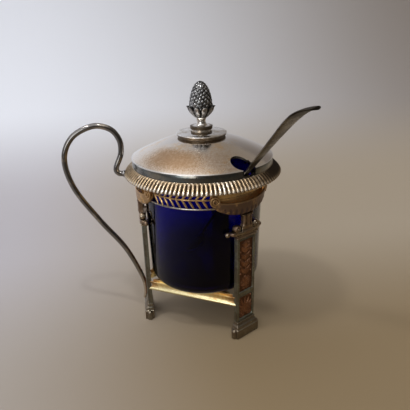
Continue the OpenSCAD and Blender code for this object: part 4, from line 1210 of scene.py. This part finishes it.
# Stage: a pale sweep of paper under and behind the pot. A large soft light hangs overhead, a low one
# stands in front, two small ones give faint shadows, and the camera looks a little down.
sweep_bend, sweep_start, sweep_near, sweep_high, sweep_half = 0.3, 0.12, -0.9, 0.42, 1.8
sweep_line = [(sweep_near, 0.0), (-0.3, 0.0), (-0.16, 0.0), (sweep_start, 0.0)]
sweep_line += arc((sweep_start, sweep_bend), sweep_bend, 0.05 - pi / 2, 0, 24)
sweep_line.append((sweep_start + sweep_bend, sweep_high))
mesh = bpy.data.meshes.new("paper_sweep")
mesh.from_pydata(
    [(x, y, z) for y, z in sweep_line for x in (-sweep_half, sweep_half)], [],
    [(2 * k, 2 * k + 1, 2 * k + 3, 2 * k + 2) for k in range(len(sweep_line) - 1)])
mesh.shade_smooth()
paper, tree, shader = new_finish("paper")
shader.inputs["Roughness"].default_value = 0.85
x, y, z = place_parts(tree, tree.nodes.new("ShaderNodeTexCoord").outputs["Object"])
# The paper's colour holds painted light and shade: lighter and cooler on the left, darker and warmer on the
# right, lighter behind the pot, and a painted shadow near the camera.
near_shade = (0.06, 0.05, 0.04)
paper_shade_right = spread(tree, x, -0.16, 0.02)
floor_light_and_shade = blend_colour(tree, paper_shade_right, (0.43, 0.39, 0.355), (0.27, 0.195, 0.105))
right_front_shade = blend_colour(tree, spread(tree, y, 0.0, -0.14), floor_light_and_shade, near_shade)
floor_light_and_shade = blend_colour(tree, spread(tree, x, 0.12, 0.22), floor_light_and_shade, right_front_shade)
far_floor_light_and_shade = blend_colour(tree, paper_shade_right, (0.52, 0.5, 0.53), (0.43, 0.36, 0.27))
floor_light_and_shade = blend_colour(tree, spread(tree, y, -0.06, 0.1), floor_light_and_shade, far_floor_light_and_shade)
wall_light_and_shade = blend_colour(tree, spread(tree, x, -0.2, 0.4), (0.9, 0.93, 1.0), (0.33, 0.29, 0.26))
paper_light_and_shade = blend_colour(tree, spread(tree, z, 0.0, 0.075), floor_light_and_shade, wall_light_and_shade)
paper_light_and_shade = blend_colour(tree, spread(tree, y, -0.1, -0.35), paper_light_and_shade, near_shade)
tree.links.new(paper_light_and_shade, shader.inputs["Base Color"])
mesh.materials.append(paper)
sweep = bpy.data.objects.new("paper_sweep", mesh)
bpy.context.scene.collection.objects.link(sweep)

lamp_aim, lamp_colour = Vector((0, 0, 0.06)), (0.97, 0.98, 1.0)
for label, spot, size, power in (
    ("window_light", (-0.35, -0.4, 1.3), 2.2, 9.5), ("front_light", (-0.55, -0.85, 0.24), 0.5, 2.0),
    ("side_light", (-0.6, -0.2, 1.15), 0.14, 2.6), ("ceiling_light", (0.0, -0.42, 1.13), 0.06, 1.6),
):
    lamp = bpy.data.lights.new(label, "AREA")
    lamp.size, lamp.energy, lamp.color = size, power, lamp_colour
    holder = bpy.data.objects.new(label, lamp)
    holder.location = spot
    holder.rotation_mode = "QUATERNION"
    holder.rotation_quaternion = (lamp_aim - holder.location).to_track_quat("-Z", "Y")
    bpy.context.scene.collection.objects.link(holder)

world = bpy.data.worlds.new("room")
bpy.context.scene.world = world
world.use_nodes = True
tree = world.node_tree
x, y, z = place_parts(tree, tree.nodes.new("ShaderNodeTexCoord").outputs["Generated"])
side, leftward = spread(tree, x, 0.4, -0.4), spread(tree, x, -0.3, -0.95)
behind, upward = spread(tree, y, -0.2, 0.5), spread(tree, z, 0.0, 0.7)
wall = blend_colour(tree, side, (0.25, 0.22, 0.19), (0.54, 0.53, 0.54))
lit = add_up(tree, (behind, 0.8), (upward, 0.7), (leftward, 0.5))
tree.links.new(blend_colour(tree, lit, (0.07, 0.06, 0.05), wall), tree.nodes["Background"].inputs["Color"])

lens = bpy.data.cameras.new("photo_camera")
# Width of the photo and the fitted focal length, both in pixels
photo_width, focal_length, sensor_width = 410, 442.07, 36
lens.lens, lens.sensor_width = sensor_width * focal_length / photo_width, sensor_width
lens.clip_start, lens.clip_end = 0.01, 10
camera = bpy.data.objects.new("photo_camera", lens)
pitch, roll, heading_x, heading_y = radians(22.41), radians(-1.43), 0.1478, 0.989
heading = Vector((heading_x * cos(pitch), heading_y * cos(pitch), -sin(pitch)))
camera.rotation_mode = "QUATERNION"
camera.rotation_quaternion = heading.to_track_quat("-Z", "Y") @ Quaternion((0, 0, 1), roll)
camera.location = (-0.0334, -0.2295, 0.1628)
bpy.context.scene.collection.objects.link(camera)
bpy.context.scene.camera = camera
bpy.context.scene.view_settings.view_transform = "Standard"

bpy.context.view_layer.update()
